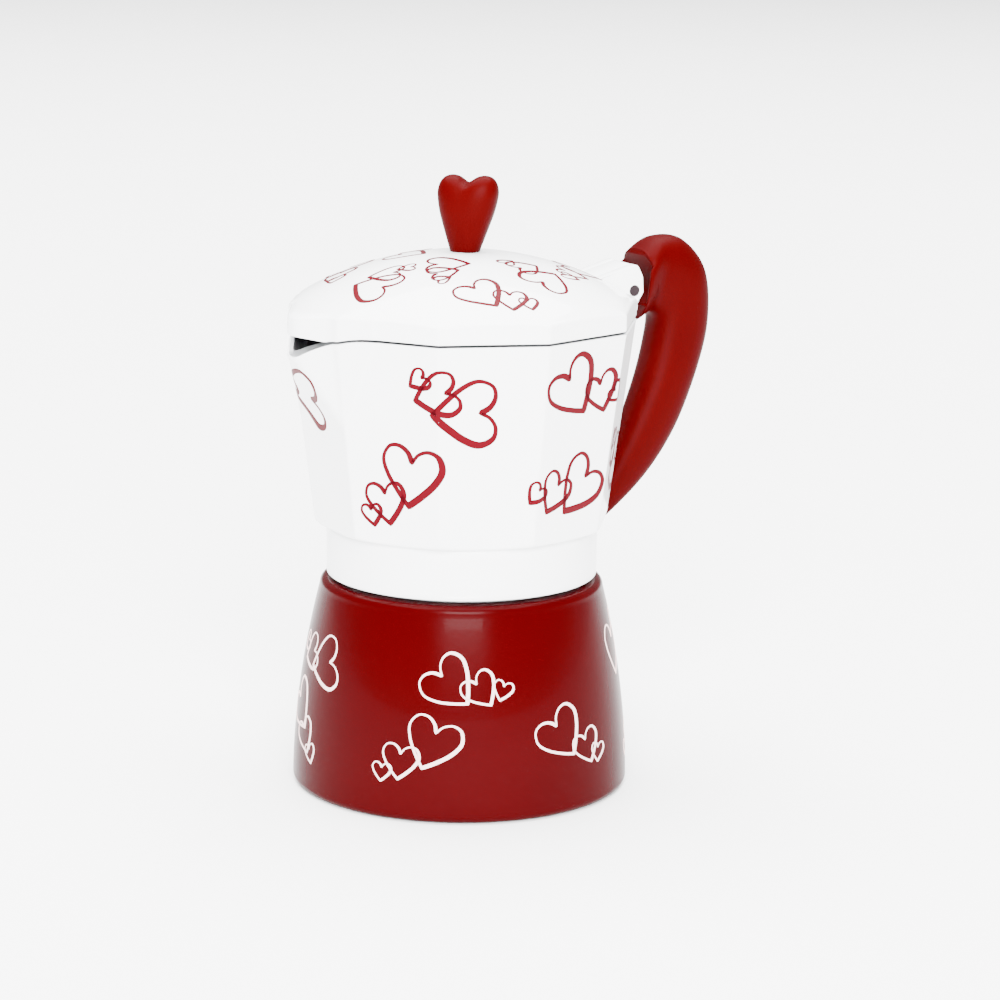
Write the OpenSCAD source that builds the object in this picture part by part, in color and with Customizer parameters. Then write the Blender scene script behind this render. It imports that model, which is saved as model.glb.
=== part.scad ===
// Stovetop moka pot: a round boiler, a ten-sided collector that screws on to it,
// a hinged lid, a curved handle and a heart-shaped knob. Millimetres, +Z up.
// The origin is the centre of the boiler's underside; the spout points along -X
// and the handle along +X.

/* [Boiler] */
// Outer diameter at the base
base_d = 88; // [72:1:110]
// Height of the curved wall, up to the shoulder
boiler_h = 52.6; // [42:0.2:66]
// How far the wall leans in between the base and the shoulder
boiler_draw = 7; // [4:0.5:9]
// Wall thickness
boiler_wall = 2.6; // [2:0.1:3.2]
// Thickness of the floor
boiler_floor = 4; // [3:0.5:6]
// Height of the threaded neck above the shoulder
neck_h = 11; // [9.5:0.5:14]
// Wall thickness of the neck
neck_wall = 2.1; // [1.6:0.1:2.6]

/* [Thread] */
// Pitch of the thread between boiler and collector
thread_pitch = 3; // [2.6:0.1:3.6]
// Radial height of a thread ridge
thread_depth = 1.15; // [0.9:0.05:1.3]
// Radial gap between a ridge's crest and the wall that faces it
thread_gap = 0.35; // [0.3:0.05:0.5]

/* [Collector] */
// How far the round collar stands in from the boiler's shoulder
collar_step = 1.7; // [1:0.1:3]
// Wall thickness of the collar
collar_wall = 2.4; // [2:0.1:3]
// Height of the collar
collar_h = 13.3; // [12.5:0.1:16]
// Height of the ten-sided body, from its seam to its rim
body_h = 52.7; // [44:0.1:66]
// How far the body's edges stand out from the collar at the seam
body_step = 3.2; // [2:0.1:4]
// How far the body's edges lean out between seam and rim
body_flare = 7; // [4:0.5:9]
// Wall thickness of the body, measured on its flats
body_wall = 2.2; // [1.8:0.1:2.8]
// How far the spout's lip stands out from the flat it grows from
spout_reach = 6; // [4:0.5:8]
// Drop from the rim to the spout's lip
spout_drop = 6.2; // [4:0.2:8]
// Outer radius of the coffee column
column_r = 4.6; // [3.8:0.1:6]
// Height of the coffee column above the collector's floor
column_h = 34; // [26:1:44]

/* [Lid] */
// Height of the upright band round the lid
band_h = 5.6; // [4:0.2:7]
// Rise of the dome above the band
dome_h = 11.9; // [9:0.1:15]
// Thickness of the lid
lid_wall = 1.6; // [1.2:0.1:2.2]
// Gap between the lid and the collector's rim
lid_gap = 0.6; // [0.5:0.1:1]

/* [Hinge] */
// Diameter of the hinge pin
pin_d = 3; // [2.4:0.1:3.4]
// Width of the hinge across its two ears
hinge_w = 15; // [13:0.5:18]
// Width of the collector's lug between the ears
lug_w = 8; // [7:0.5:9]
// Distance of the pin behind the flat at the rim
hinge_out = 3.2; // [3:0.1:4]

/* [Handle] */
// Thickness of the handle across its grip
handle_w = 14; // [12:0.5:18]
// Diameter of the screw that holds the handle
handle_screw_d = 3; // [2.5:0.5:4]

/* [Knob] */
// Height of the heart-shaped knob
knob_h = 19.6; // [16:0.2:24]
// Width of the knob across its lobes
knob_w = 16; // [13:0.5:20]
// Thickness of the knob
knob_t = 10.5; // [9:0.5:13]
// Angle that the knob's broad face is turned to, from the spout's direction
knob_turn = -45; // [-90:5:90]

/* [Valve] */
// Diameter of the safety valve's threaded stem
valve_d = 7.8; // [6.5:0.1:9]
// Width across the flats of the valve's hexagon
valve_hex = 12; // [11:0.5:14]
// Outward travel of the valve pin
valve_travel = 1.5; // [1:0.1:2]

/* [Basket] */
// Depth of the coffee basket
basket_h = 15; // [12:0.5:18]
// Sheet thickness of the basket and the filter plate
sheet_t = 0.7; // [0.5:0.1:1]
// Outer radius of the basket's stem
stem_r = 4; // [3:0.1:5]
// Radius of one hole in the basket's floor and the filter plate
hole_r = 0.7; // [0.5:0.05:0.8]
// Thickness of the rubber gasket
gasket_t = 3; // [2:0.2:4]

/* [Hidden] */

$fn = 96;
eps = 0.01;
facets = 10;
facet_a = 180 / facets;
face_gap = 0.1;
running_gap = 0.06;

// Boiler: radii and levels
base_r = base_d / 2;
base_round = 2;
wall_power = 1.87;
shoulder_r = base_r - boiler_draw;
shoulder_h = 2;
shoulder_z = boiler_h + shoulder_h;
neck_top = shoulder_z + neck_h;

// Collector: radii and levels
collar_gap = 1.1;
collar_z = shoulder_z + collar_gap;
collar_r = shoulder_r - collar_step;
collar_in = collar_r - collar_wall;
neck_r = collar_in - thread_depth - thread_gap;
neck_in = neck_r - neck_wall;
seam_z = collar_z + collar_h;
rim_z = seam_z + body_h;
seam_r = collar_r + body_step;
rim_r = seam_r + body_flare;
lid_z = rim_z + lid_gap;

// Stack between the neck and the collector's floor
flange_z = neck_top + face_gap;
gasket_z = flange_z + sheet_t + face_gap;
filter_z = gasket_z + gasket_t;
ceiling_z = filter_z + sheet_t + 2 * face_gap;
floor_t = 3.6;
floor_z = ceiling_z + floor_t;

// Radius of the boiler's wall at height z
function boiler_r(z) = base_r - boiler_draw * pow(max(z, 0) / boiler_h, wall_power);
// Distance from the axis to a flat, and to an edge, of the ten-sided body
function edge_r(z) = seam_r + body_flare * (z - seam_z) / body_h;
function flat_r(z) = edge_r(z) * cos(facet_a);
// Height of the lid's dome at radius r, flattened past the rim
rim_flat = flat_r(rim_z);
band_z = lid_z + band_h;
apex_z = band_z + dome_h;
dome_power = 2.1;
beak_slope = 0.3;
function dome_z(r) = r < rim_flat
    ? apex_z - dome_h * pow(r / rim_flat, dome_power)
    : band_z - beak_slope * (r - rim_flat);

// Hinge
pin_r = pin_d / 2;
hinge_x = rim_flat + hinge_out;
hinge_z = lid_z + 5.4;
ear_r = 3;
ear_t = (hinge_w - lug_w) / 2 - 0.4;
tab_h = 6.9;
tab_front = hinge_x - 10.5;
swing_gap = 0.4;
swing_r = tab_h + swing_gap;

// ---------- shared shapes ----------

// A smooth curve through control points (Catmull-Rom), at parameter t from 0 to 1
function spline(p, t) = let (n = len(p) - 1, s = min(t * n, n - 0.0001), i = floor(s), f = s - i,
        a = p[max(i - 1, 0)], b = p[i], c = p[i + 1], d = p[min(i + 2, n)])
    0.5 * (2 * b + (c - a) * f + (2 * a - 5 * b + 4 * c - d) * f * f
        + (3 * b - a - 3 * c + d) * f * f * f);

// Faces of a closed skin made of rings with the same number of points
function skin_faces(rings, sides) = concat(
    [[for (k = [sides - 1:-1:0]) k]],
    [[for (k = [0:sides - 1]) (rings - 1) * sides + k]],
    [for (i = [0:rings - 2]) for (k = [0:sides - 1])
        let (a = i * sides + k, b = i * sides + (k + 1) % sides)
        each [[a, b, b + sides], [a, b + sides, a + sides]]]);

// A helical ridge: foot at radius r0, crest at r1, tapered at both ends
module ridge(r0, r1, turns, z0, half_w) {
    steps = 40;
    n = round(turns * steps);
    rings = [for (i = [0:n])
        let (a = 360 * i / steps, z = z0 + thread_pitch * i / steps,
            taper = max(min(1, min(i, n - i) * 6 / steps), 0.1), r = r0 + (r1 - r0) * taper)
        [[r0, z - half_w, a], [r, z - half_w / 3, a], [r, z + half_w / 3, a], [r0, z + half_w, a]]];
    points = [for (ring = rings) for (p = ring) [p[0] * cos(p[2]), p[0] * sin(p[2]), p[1]]];
    faces = skin_faces(n + 1, 4);
    polyhedron(points, r1 > r0 ? faces : [for (f = faces) [for (k = [len(f) - 1:-1:0]) f[k]]],
        convexity = 10);
}

// A ring of revolution given by its section's corners
module turned(section) {
    rotate_extrude() polygon(section);
}

// A pattern of holes on rings: one, six, twelve, ...
module hole_rings(rings, spacing, z, h) {
    for (ring = [0:rings])
        for (k = [0:max(6 * ring - 1, 0)])
            rotate(ring == 0 ? 0 : 60 * k / ring)
                translate([ring * spacing, 0, z]) cylinder(h = h, r = hole_r, $fn = 16);
}

// Outline of the ten-sided body seen from above, edges at radius r
module facet_outline(r) {
    circle_points = [for (k = [0:facets - 1]) r * [cos(facet_a * (2 * k + 1)), sin(facet_a * (2 * k + 1))]];
    polygon(circle_points);
}

// ---------- boiler ----------

wall_steps = 14;
module boiler() {
    outer = concat(
        [[0, 0], [base_r - base_round, 0]],
        [for (a = [30:30:90]) [base_r - base_round + base_round * sin(a),
            base_round * (1 - cos(a))]],
        [for (k = [2:wall_steps]) let (z = boiler_h * k / wall_steps) [boiler_r(z), z]],
        [for (a = [30:30:90]) [shoulder_r - shoulder_h * (1 - cos(a)), boiler_h + shoulder_h * sin(a)]],
        [[neck_r, shoulder_z], [neck_r, neck_top], [neck_in, neck_top]],
        [[neck_in, shoulder_z - 0.5]],
        [for (k = [wall_steps - 1:-1:2]) let (z = boiler_h * k / wall_steps)
            [boiler_r(z) - boiler_wall, z]],
        [[base_r - boiler_wall - 4, boiler_floor], [0, boiler_floor]]);
    color([0.55, 0.02, 0.05]) union() {
        difference() {
            union() {
                turned(outer);
                valve_frame() cylinder(h = valve_boss_depth, r = valve_boss_r);
            }
            turned([[0, boiler_floor], [base_r - boiler_wall - 4, boiler_floor],
                for (k = [2:wall_steps - 1]) let (z = boiler_h * k / wall_steps)
                    [boiler_r(z) - boiler_wall, z],
                [neck_in, shoulder_z - 0.5], [0, shoulder_z - 0.5]]);
            valve_frame() translate([0, 0, -1]) cylinder(h = 20, r = valve_d / 2 + face_gap);
        }
        ridge(neck_r - 0.3, neck_r + thread_depth, thread_turns, thread_z, thread_half);
    }
}
thread_turns = 2.25;
thread_half = thread_pitch / 4;
thread_z = shoulder_z + 2.4;

// ---------- safety valve, on the +Y side ----------

valve_z = boiler_h * 0.7;
valve_boss_r = valve_hex * 0.62;
valve_boss_y = boiler_r(valve_z) + 1.8;
valve_boss_depth = 6;
washer_t = 0.6;
hex_t = 4;
nose_h = 4;
nose_r = valve_d / 2 + 0.7;
stem_in = 6.8;
chamber_r = valve_d / 2 - 1.3;
seat_t = 1.5;
cap_t = 2;
valve_pin_r = 1;
plug_t = 1.2;

// Local frame of the valve: origin on the boss's face, z pointing inwards
module valve_frame() {
    translate([0, valve_boss_y, valve_z]) rotate([90, 0, 0]) children();
}

module valve_body() {
    color([0.80, 0.62, 0.28]) valve_frame() difference() {
        union() {
            translate([0, 0, -washer_t]) cylinder(h = stem_in + washer_t, r = valve_d / 2);
            translate([0, 0, -washer_t - hex_t])
                cylinder(h = hex_t, r = valve_hex / 2 / cos(30), $fn = 6);
            translate([0, 0, -washer_t - hex_t - nose_h]) cylinder(h = nose_h + eps, r = nose_r);
        }
        translate([0, 0, -washer_t - hex_t - nose_h - 1])
            cylinder(h = hex_t + nose_h + washer_t + stem_in + 1 - seat_t, r = chamber_r);
        translate([0, 0, -1]) cylinder(h = stem_in + 2, r = chamber_r - 1);
        translate([0, 0, -washer_t - hex_t - nose_h - 1]) cylinder(h = cap_t + 1, r = chamber_r + 0.8);
    }
}

module valve_washer() {
    color([0.78, 0.42, 0.24]) valve_frame() translate([0, 0, -washer_t + face_gap / 2])
        difference() {
            cylinder(h = washer_t - face_gap, r = valve_hex / 2);
            translate([0, 0, -1]) cylinder(h = 3, r = valve_d / 2 + face_gap);
        }
}

module valve_cap() {
    color([0.72, 0.55, 0.25]) valve_frame() translate([0, 0, -washer_t - hex_t - nose_h])
        difference() {
            cylinder(h = cap_t, r = chamber_r + 0.8 - running_gap);
            translate([0, 0, -1]) cylinder(h = cap_t + 2, r = valve_pin_r + running_gap);
        }
}

plug_z = stem_in - seat_t - face_gap;
module valve_pin() {
    color([0.86, 0.70, 0.36]) valve_frame() union() {
        translate([0, 0, plug_z - plug_t]) cylinder(h = plug_t, r = chamber_r - 0.2);
        translate([0, 0, -washer_t - hex_t - nose_h - valve_travel])
            cylinder(h = plug_z - plug_t + washer_t + hex_t + nose_h + valve_travel + eps, r = valve_pin_r);
    }
}

spring_wire_r = 0.28;
spring_turns = 7;
module valve_spring() {
    sides = 6;
    per_turn = 14;
    coil_r = (chamber_r + valve_pin_r) / 2;
    z0 = -washer_t - hex_t - nose_h + cap_t + spring_wire_r + face_gap;
    z1 = plug_z - plug_t - spring_wire_r - face_gap;
    n = spring_turns * per_turn;
    points = [for (i = [0:n]) let (a = 360 * i / per_turn, z = z0 + (z1 - z0) * i / n)
        for (k = [0:sides - 1]) let (b = 360 * k / sides, r = coil_r + spring_wire_r * cos(b))
            [r * cos(a), r * sin(a), z + spring_wire_r * sin(b)]];
    faces = [for (f = skin_faces(n + 1, sides)) [for (k = [len(f) - 1:-1:0]) f[k]]];
    color([0.70, 0.71, 0.73]) valve_frame() polyhedron(points, faces, convexity = 12);
}

// ---------- basket, gasket and filter plate ----------

basket_gap = 0.5;
basket_r = neck_in - basket_gap;
basket_floor = flange_z - basket_h;
cone_h = 8;
stem_clear = 2.5;

module funnel() {
    stem_end = boiler_floor + stem_clear;
    color([0.80, 0.81, 0.82]) difference() {
        turned([[stem_r - sheet_t, stem_end], [stem_r, stem_end], [stem_r, basket_floor - cone_h],
            [basket_r, basket_floor - 1], [basket_r, flange_z], [neck_r - 0.2, flange_z],
            [neck_r - 0.2, flange_z + sheet_t], [basket_r - sheet_t, flange_z + sheet_t],
            [basket_r - sheet_t, basket_floor + sheet_t], [0, basket_floor + sheet_t],
            [0, basket_floor], [basket_r - 2 * sheet_t, basket_floor],
            [stem_r - sheet_t, basket_floor - cone_h + 1]]);
        hole_rings(5, basket_r / 6.2, basket_floor - 0.5, sheet_t + 1);
    }
}

gasket_r = collar_in - 0.7;
gasket_in = neck_in - 4;
module gasket() {
    color([0.92, 0.91, 0.88]) turned([[gasket_in, gasket_z], [gasket_r, gasket_z],
        [gasket_r, filter_z], [gasket_in, filter_z]]);
}

module filter_plate() {
    color([0.78, 0.79, 0.80]) difference() {
        translate([0, 0, filter_z]) cylinder(h = sheet_t, r = gasket_r - 0.4);
        hole_rings(6, gasket_in / 6.4, filter_z - 1, sheet_t + 2);
    }
}

// ---------- collector ----------

lip_x = flat_r(rim_z) + spout_reach;
lip_z = rim_z - spout_drop;
spout_foot_z = seam_z + body_h * 0.56;
spout_side = rim_r * sin(facet_a);
// Where the spout's cheek meets the rim of the next flat, as seen from above
cheek_x = rim_flat * cos(2 * facet_a) + 3.4 * sin(2 * facet_a);
cheek_y = rim_flat * sin(2 * facet_a) - 3.4 * cos(2 * facet_a);
lip_half = 2.2;

// Height of the rim along the spout: level over the body, then down to the lip
function rim_level(x) = let (t = max(0, (x - cheek_x) / (lip_x - cheek_x)))
    rim_z - spout_drop * pow(t, 2.2);
spout_steps = 10;

// Corners of the spout, shrunk towards the body by wall w; the spout points along +x here
module spout_block(w) {
    foot_x = flat_r(spout_foot_z);
    foot_y = edge_r(spout_foot_z) * sin(facet_a);
    back = rim_flat / 2;
    hull() for (side = [-1, 1]) {
        translate([foot_x - w, side * (foot_y - w), spout_foot_z + w]) cube(eps, center = true);
        translate([lip_x - 1.3 * w, side * max(lip_half - w, 0.6), lip_z + w / 2])
            cube(eps, center = true);
        translate([lip_x - 1.3 * w, side * max(lip_half - w, 0.6), rim_z + 4]) cube(eps, center = true);
        translate([cheek_x - w, side * (cheek_y - w), rim_z]) cube(eps, center = true);
        translate([cheek_x - w, side * (cheek_y - w), rim_z + 4]) cube(eps, center = true);
        translate([back, side * (foot_y - w), spout_foot_z + w]) cube(eps, center = true);
        translate([back, side * (cheek_y - w), rim_z + 4]) cube(eps, center = true);
    }
}

// Everything above the rim's curve, swept across the pot
module above_rim() {
    edge = [for (k = [0:spout_steps]) let (x = cheek_x + (lip_x + 2 - cheek_x) * k / spout_steps)
        [x, rim_level(x)]];
    rotate([90, 0, 0]) linear_extrude(height = 4 * rim_r, center = true)
        polygon(concat([[-2 * rim_r, rim_z]], edge, [[lip_x + 2, rim_z + 20], [-2 * rim_r, rim_z + 20]]));
}

bowl_floor_r = flat_r(floor_z) - body_wall - 1.5;
module collector() {
    body_round = 3.5;
    color([0.96, 0.96, 0.96]) difference() {
        union() {
            // ten-sided body, its underside rounded to the collar
            intersection() {
                hull() {
                    translate([0, 0, seam_z]) linear_extrude(height = eps) facet_outline(seam_r);
                    translate([0, 0, rim_z]) linear_extrude(height = eps) facet_outline(rim_r);
                }
                turned([[0, seam_z - 1], [collar_r, seam_z - 1], [collar_r + 0.3, seam_z],
                    for (a = [30:30:90]) [collar_r + 0.3 + body_round * sin(a),
                        seam_z + body_round * (1 - cos(a))],
                    [rim_r + 2, seam_z + body_round * 2], [rim_r + 2, rim_z + 1], [0, rim_z + 1]]);
            }
            translate([0, 0, collar_z]) cylinder(h = collar_h + 1, r = collar_r);
            rotate(180) spout_block(0);
            hinge_lug();
        }
        // room for the neck, the gasket and the filter plate
        translate([0, 0, collar_z - 1]) cylinder(h = ceiling_z - collar_z + 1, r = collar_in);
        // hollow under the floor that gathers the coffee into the column
        turned([[0, ceiling_z - eps], [gasket_in, ceiling_z - eps], [column_r, ceiling_z + 1.4],
            [0, ceiling_z + 1.4]]);
        // bowl
        turned([[0, floor_z], [bowl_floor_r, floor_z], [flat_r(floor_z + 3) - body_wall, floor_z + 3],
            [flat_r(rim_z + 2) - body_wall, rim_z + 2], [0, rim_z + 2]]);
        rotate(180) spout_block(body_wall * 0.8);
        rotate(180) above_rim();
        // seat of the column
        translate([0, 0, ceiling_z]) cylinder(h = floor_t + 1, r = column_r + running_gap);
        hinge_cuts();
    }
    color([0.96, 0.96, 0.96])
        ridge(collar_in + 0.3, collar_in - thread_depth, thread_turns - 0.25,
            thread_z + thread_pitch / 2, thread_half);
}

// Lug behind the rim: a knuckle for the pin, and an arm with an eye for the handle's screw
arm_top = hinge_z - ear_r - 0.4;
arm_t = 2.6;
screw_x = hinge_x + 13.3;
screw_z = arm_top - 0.5;
eye_r = handle_screw_d / 2 + 2;
module arm_outline(gap) {
    polygon([[hinge_x + 1, arm_top - arm_t - gap], [screw_x, arm_top - arm_t - gap],
        [screw_x, arm_top + gap], [hinge_x + 1, arm_top + gap]]);
    translate([screw_x, screw_z]) circle(r = eye_r + gap);
}
module hinge_lug() {
    wall_z = rim_z - 12;
    rotate([90, 0, 0]) linear_extrude(height = lug_w - 0.6, center = true) union() {
        polygon([[flat_r(wall_z) - 1, wall_z], [hinge_x + 2, arm_top - arm_t], [hinge_x + 2, arm_top],
            [hinge_x + 2, hinge_z], [hinge_x - 2, hinge_z],
            [rim_flat + 0.3, rim_z + 2], [rim_flat + 0.3, rim_z - eps], [rim_flat - 1.5, rim_z - eps]]);
        arm_outline(0);
        translate([hinge_x, hinge_z]) circle(r = hinge_out - 0.35);
    }
}

module hinge_cuts() {
    translate([hinge_x, 0, hinge_z]) rotate([90, 0, 0])
        cylinder(h = lug_w + 2, r = pin_r + running_gap, center = true);
    translate([screw_x, 0, screw_z]) rotate([90, 0, 0])
        cylinder(h = lug_w + 2, r = handle_screw_d / 2 + face_gap, center = true);
}

module column() {
    tube_r = column_r - 1.4;
    color([0.90, 0.90, 0.90]) turned([[tube_r, ceiling_z + 1.4], [column_r, ceiling_z + 1.4],
        [column_r, floor_z + 1], [column_r - 0.5, floor_z + column_h], [tube_r, floor_z + column_h]]);
}

cap_h = 6;
module column_cap() {
    cap_z = floor_z + column_h;
    cap_r = column_r + 1;
    color([0.86, 0.86, 0.86]) difference() {
        turned([[column_r - 0.35, cap_z - 3], [cap_r, cap_z - 3], [cap_r, cap_z + cap_h - 2],
            [cap_r - 2, cap_z + cap_h], [0, cap_z + cap_h], [0, cap_z + cap_h - 1.2],
            [column_r - 1.5, cap_z + cap_h - 1.2], [column_r - 1.5, cap_z + face_gap],
            [column_r - 0.35, cap_z + face_gap]]);
        for (side = [0, 1])
            rotate(90 * side + 45) translate([0, 0, cap_z + 2.4]) rotate([90, 0, 0])
                cylinder(h = 4 * cap_r, r = 1.5, center = true, $fn = 32);
    }
}

// ---------- lid ----------

// Outline of the lid: the body's rim with a beak over the spout (spout along +x here)
module lid_outline(inset) {
    k = (rim_flat - inset) / rim_flat;
    union() {
        facet_outline_turned(rim_r * k);
        polygon([[0, -cheek_y * k], [cheek_x * k, -cheek_y * k],
            [lip_x - inset, -lip_half * k], [lip_x - inset, lip_half * k],
            [cheek_x * k, cheek_y * k], [0, cheek_y * k]]);
    }
}
module facet_outline_turned(r) {
    facet_outline(r);
}

// Height of the lid's lower edge: level, then dipping over the spout
beak_dip = 2;
function lid_level(x) = let (t = max(0, (x - cheek_x) / (lip_x - cheek_x)))
    lid_z - beak_dip * min(1, pow(t * 1.6, 2)) + beak_dip * 0.3 * max(0, t - 0.6) / 0.4;

module lid() {
    dome_steps = 12;
    top_flat = 6;
    beak_end = lip_x + 1;
    color([0.97, 0.97, 0.97]) difference() {
        union() {
            difference() {
                intersection() {
                    rotate(180) translate([0, 0, lid_z - beak_dip - 1])
                        linear_extrude(height = 40) lid_outline(0);
                    turned([[0, lid_z - 10], [beak_end, lid_z - 10], [beak_end, dome_z(beak_end)],
                        for (k = [dome_steps:-1:2]) let (r = rim_flat * k / dome_steps) [r, dome_z(r)],
                        [0, dome_z(top_flat)]]);
                    rotate(180) above_lid_edge();
                }
                intersection() {
                    rotate(180) translate([0, 0, lid_z - 10])
                        linear_extrude(height = 40) lid_outline(lid_wall + 0.4);
                    turned([[0, lid_z - 11], [beak_end, lid_z - 11], [beak_end, dome_z(beak_end) - lid_wall],
                        for (k = [dome_steps:-1:2]) let (r = rim_flat * k / dome_steps)
                            [r, dome_z(r) - lid_wall],
                        [0, dome_z(top_flat) - lid_wall]]);
                }
            }
            hinge_tab();
        }
        // room for the lug's knuckle, and the pin's hole
        translate([hinge_x, 0, hinge_z]) rotate([90, 0, 0])
            cylinder(h = lug_w + 0.2, r = hinge_out - 0.02, center = true);
        translate([hinge_x, -lug_w / 2 - 0.1, lid_z - 8]) cube([12, lug_w + 0.2, 8 + hinge_z - lid_z]);
        translate([hinge_x, 0, hinge_z]) rotate([90, 0, 0])
            cylinder(h = hinge_w + 2, r = pin_r + eps, center = true);
        translate([0, 0, apex_z - 20]) cylinder(h = 30, r = knob_screw_r + face_gap);
    }
}

module above_lid_edge() {
    edge = [for (k = [0:spout_steps]) let (x = cheek_x + (lip_x + 2 - cheek_x) * k / spout_steps)
        [x, lid_level(x)]];
    rotate([90, 0, 0]) linear_extrude(height = 4 * rim_r, center = true)
        polygon(concat([[-2 * rim_r, lid_z]], edge, [[lip_x + 2, lid_z + 40], [-2 * rim_r, lid_z + 40]]));
}

// Raised tab at the back of the lid, with an ear at each side of the lug
module hinge_tab() {
    rotate([90, 0, 0]) linear_extrude(height = hinge_w, center = true) union() {
        polygon([[tab_front, dome_z(tab_front) - 0.4], [hinge_x + 0.4, hinge_z + tab_h],
            [hinge_x + 1.6, hinge_z + tab_h - 1], [hinge_x + 2.5, hinge_z + 4],
            [hinge_x + ear_r - 0.2, hinge_z + 1], [hinge_x + ear_r - 0.2, hinge_z],
            [hinge_x - 1, hinge_z - ear_r + 0.2], [rim_flat - 1.2, lid_z],
            [rim_flat - 1.2, dome_z(rim_flat) - 1], [tab_front, dome_z(tab_front) - 1.2]]);
        translate([hinge_x, hinge_z]) circle(r = ear_r);
    }
}

module hinge_pin() {
    color([0.45, 0.45, 0.47]) translate([hinge_x, 0, hinge_z]) rotate([90, 0, 0])
        cylinder(h = hinge_w - 0.2, r = pin_r, center = true);
}

// ---------- knob and its fasteners ----------

knob_z = dome_z(6);
knob_screw_r = 1.5;
insert_h = 7;
module knob_washer() {
    color([0.70, 0.70, 0.72]) translate([0, 0, knob_z - lid_wall - 0.5 - face_gap / 2]) difference() {
        cylinder(h = 0.5, r = 4);
        translate([0, 0, -1]) cylinder(h = 3, r = knob_screw_r + face_gap);
    }
}

screw_head_h = 1.8;
module knob_screw() {
    z = knob_z - lid_wall - 0.5 - face_gap;
    color([0.60, 0.60, 0.62]) difference() {
        union() {
            translate([0, 0, z - screw_head_h]) cylinder(h = screw_head_h, r = 2.9);
            translate([0, 0, z - eps]) cylinder(h = lid_wall + insert_h - 0.5, r = knob_screw_r - running_gap);
        }
        translate([0, 0, z - screw_head_h - 0.4]) cube([4.4, 0.7, 2], center = true);
    }
}

module knob_insert() {
    color([0.80, 0.62, 0.28]) translate([0, 0, knob_z + 0.3]) difference() {
        cylinder(h = insert_h, r = 2.6);
        translate([0, 0, -1]) cylinder(h = insert_h, r = knob_screw_r);
    }
}

// Half of the heart's outline from the base to the dip between its lobes, as shares of the
// knob's width and height
heart_half = [[0.24, 0], [0.32, 0.13], [0.42, 0.38], [0.487, 0.67], [0.5, 0.81], [0.44, 0.94],
    [0.27, 1], [0.12, 0.965], [0, 0.91]];
function heart(t) = let (side = t < 0.5 ? 1 : -1, p = spline(heart_half, side > 0 ? 2 * t : 2 - 2 * t))
    [side * p[0] * knob_w, p[1] * knob_h];
module knob() {
    sides = 45;
    rings = 11;
    // each ring is the outline drawn in towards the middle of the base, so the base stays flat
    points = [for (i = [0:rings - 1])
        let (b = -90 + 180 * (i + 0.5) / rings, k = pow(cos(b), 0.6), y = knob_t / 2 * sin(b) / sin(84))
        for (j = [0:sides - 1]) let (h = heart(j / (sides - 1))) [h[0] * k, y, h[1] * k]];
    faces = [for (f = skin_faces(rings, sides)) [for (k = [len(f) - 1:-1:0]) f[k]]];
    color([0.75, 0.04, 0.06]) difference() {
        translate([0, 0, knob_z + face_gap / 2]) rotate(knob_turn)
            polyhedron(points, faces, convexity = 6);
        translate([0, 0, knob_z - 1]) cylinder(h = 1.3 + insert_h, r = 2.6 + eps);
    }
}

// ---------- handle ----------

// A point of the handle's outline: distance out from the body's flat, and height as a
// share of the body's height above the seam
function handle_point(out, share) = let (z = seam_z + share * body_h) [flat_r(z) + out, z];
handle_outer = [handle_point(6.2, 1.30), handle_point(10.8, 1.362), handle_point(18.6, 1.345),
    handle_point(26.6, 1.19), handle_point(29.6, 0.93), handle_point(27.9, 0.665),
    handle_point(23.2, 0.365), handle_point(15.1, 0.115), handle_point(1.6, -0.125)];
handle_inner = [handle_point(6.2, 0.945), handle_point(8.6, 0.965), handle_point(11.0, 0.985),
    handle_point(13.0, 0.945), handle_point(12.9, 0.83), handle_point(11.6, 0.64),
    handle_point(8.2, 0.395), handle_point(4.2, 0.145), handle_point(0.9, -0.11)];

handle_rings = 38;
tab_play = 0.3;
channel_wall = 1.1;
handle_sides = 20;
// Half thickness along the handle: flared round the hinge tab, full over the grip, and drawn
// to a point at the tail
flare = max(0, hinge_w / 2 + tab_play + channel_wall - handle_w / 2);
function handle_half(t) = flare * (1 - smooth_rise(t, 0.02, 0.2))
    + handle_w / 2 * (t < 0.6 ? 1 : pow(1 - pow((t - 0.6) / 0.4, 1.8) * 0.93, 0.75));
function smooth_rise(t, lo, hi) = let (s = min(1, max(0, (t - lo) / (hi - lo)))) s * s * (3 - 2 * s);
module handle() {
    points = [for (i = [0:handle_rings])
        let (t = i / handle_rings, a = spline(handle_outer, t), b = spline(handle_inner, t),
            c = (a + b) / 2, d = (a - b) / 2, w = handle_half(t))
        for (k = [0:handle_sides - 1])
            let (s = 360 * k / handle_sides, p = pow(abs(cos(s)), 0.8) * sign(cos(s)),
                q = pow(abs(sin(s)), 0.8) * sign(sin(s)))
            [c[0] + d[0] * p, w * q, c[1] + d[1] * p]];
    color([0.72, 0.04, 0.06]) difference() {
        polyhedron(points, skin_faces(handle_rings + 1, handle_sides), convexity = 6);
        // room for the tab as the lid swings open
        tab_swing();
        lid_swing();
        // socket for the lug's arm
        rotate([90, 0, 0]) linear_extrude(height = lug_w, center = true) arm_outline(0.25);
        // screw, its head's recess, and the insert
        translate([screw_x, 0, screw_z]) rotate([-90, 0, 0]) {
            cylinder(h = handle_w, r = handle_screw_d / 2 + face_gap);
            translate([0, 0, handle_w / 2 - screw_sink]) cylinder(h = handle_w, r = handle_screw_d * 0.95);
            translate([0, 0, -lug_w / 2 - handle_insert_h]) cylinder(h = handle_insert_h + 1, r = insert_r);
        }
    }
}

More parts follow.
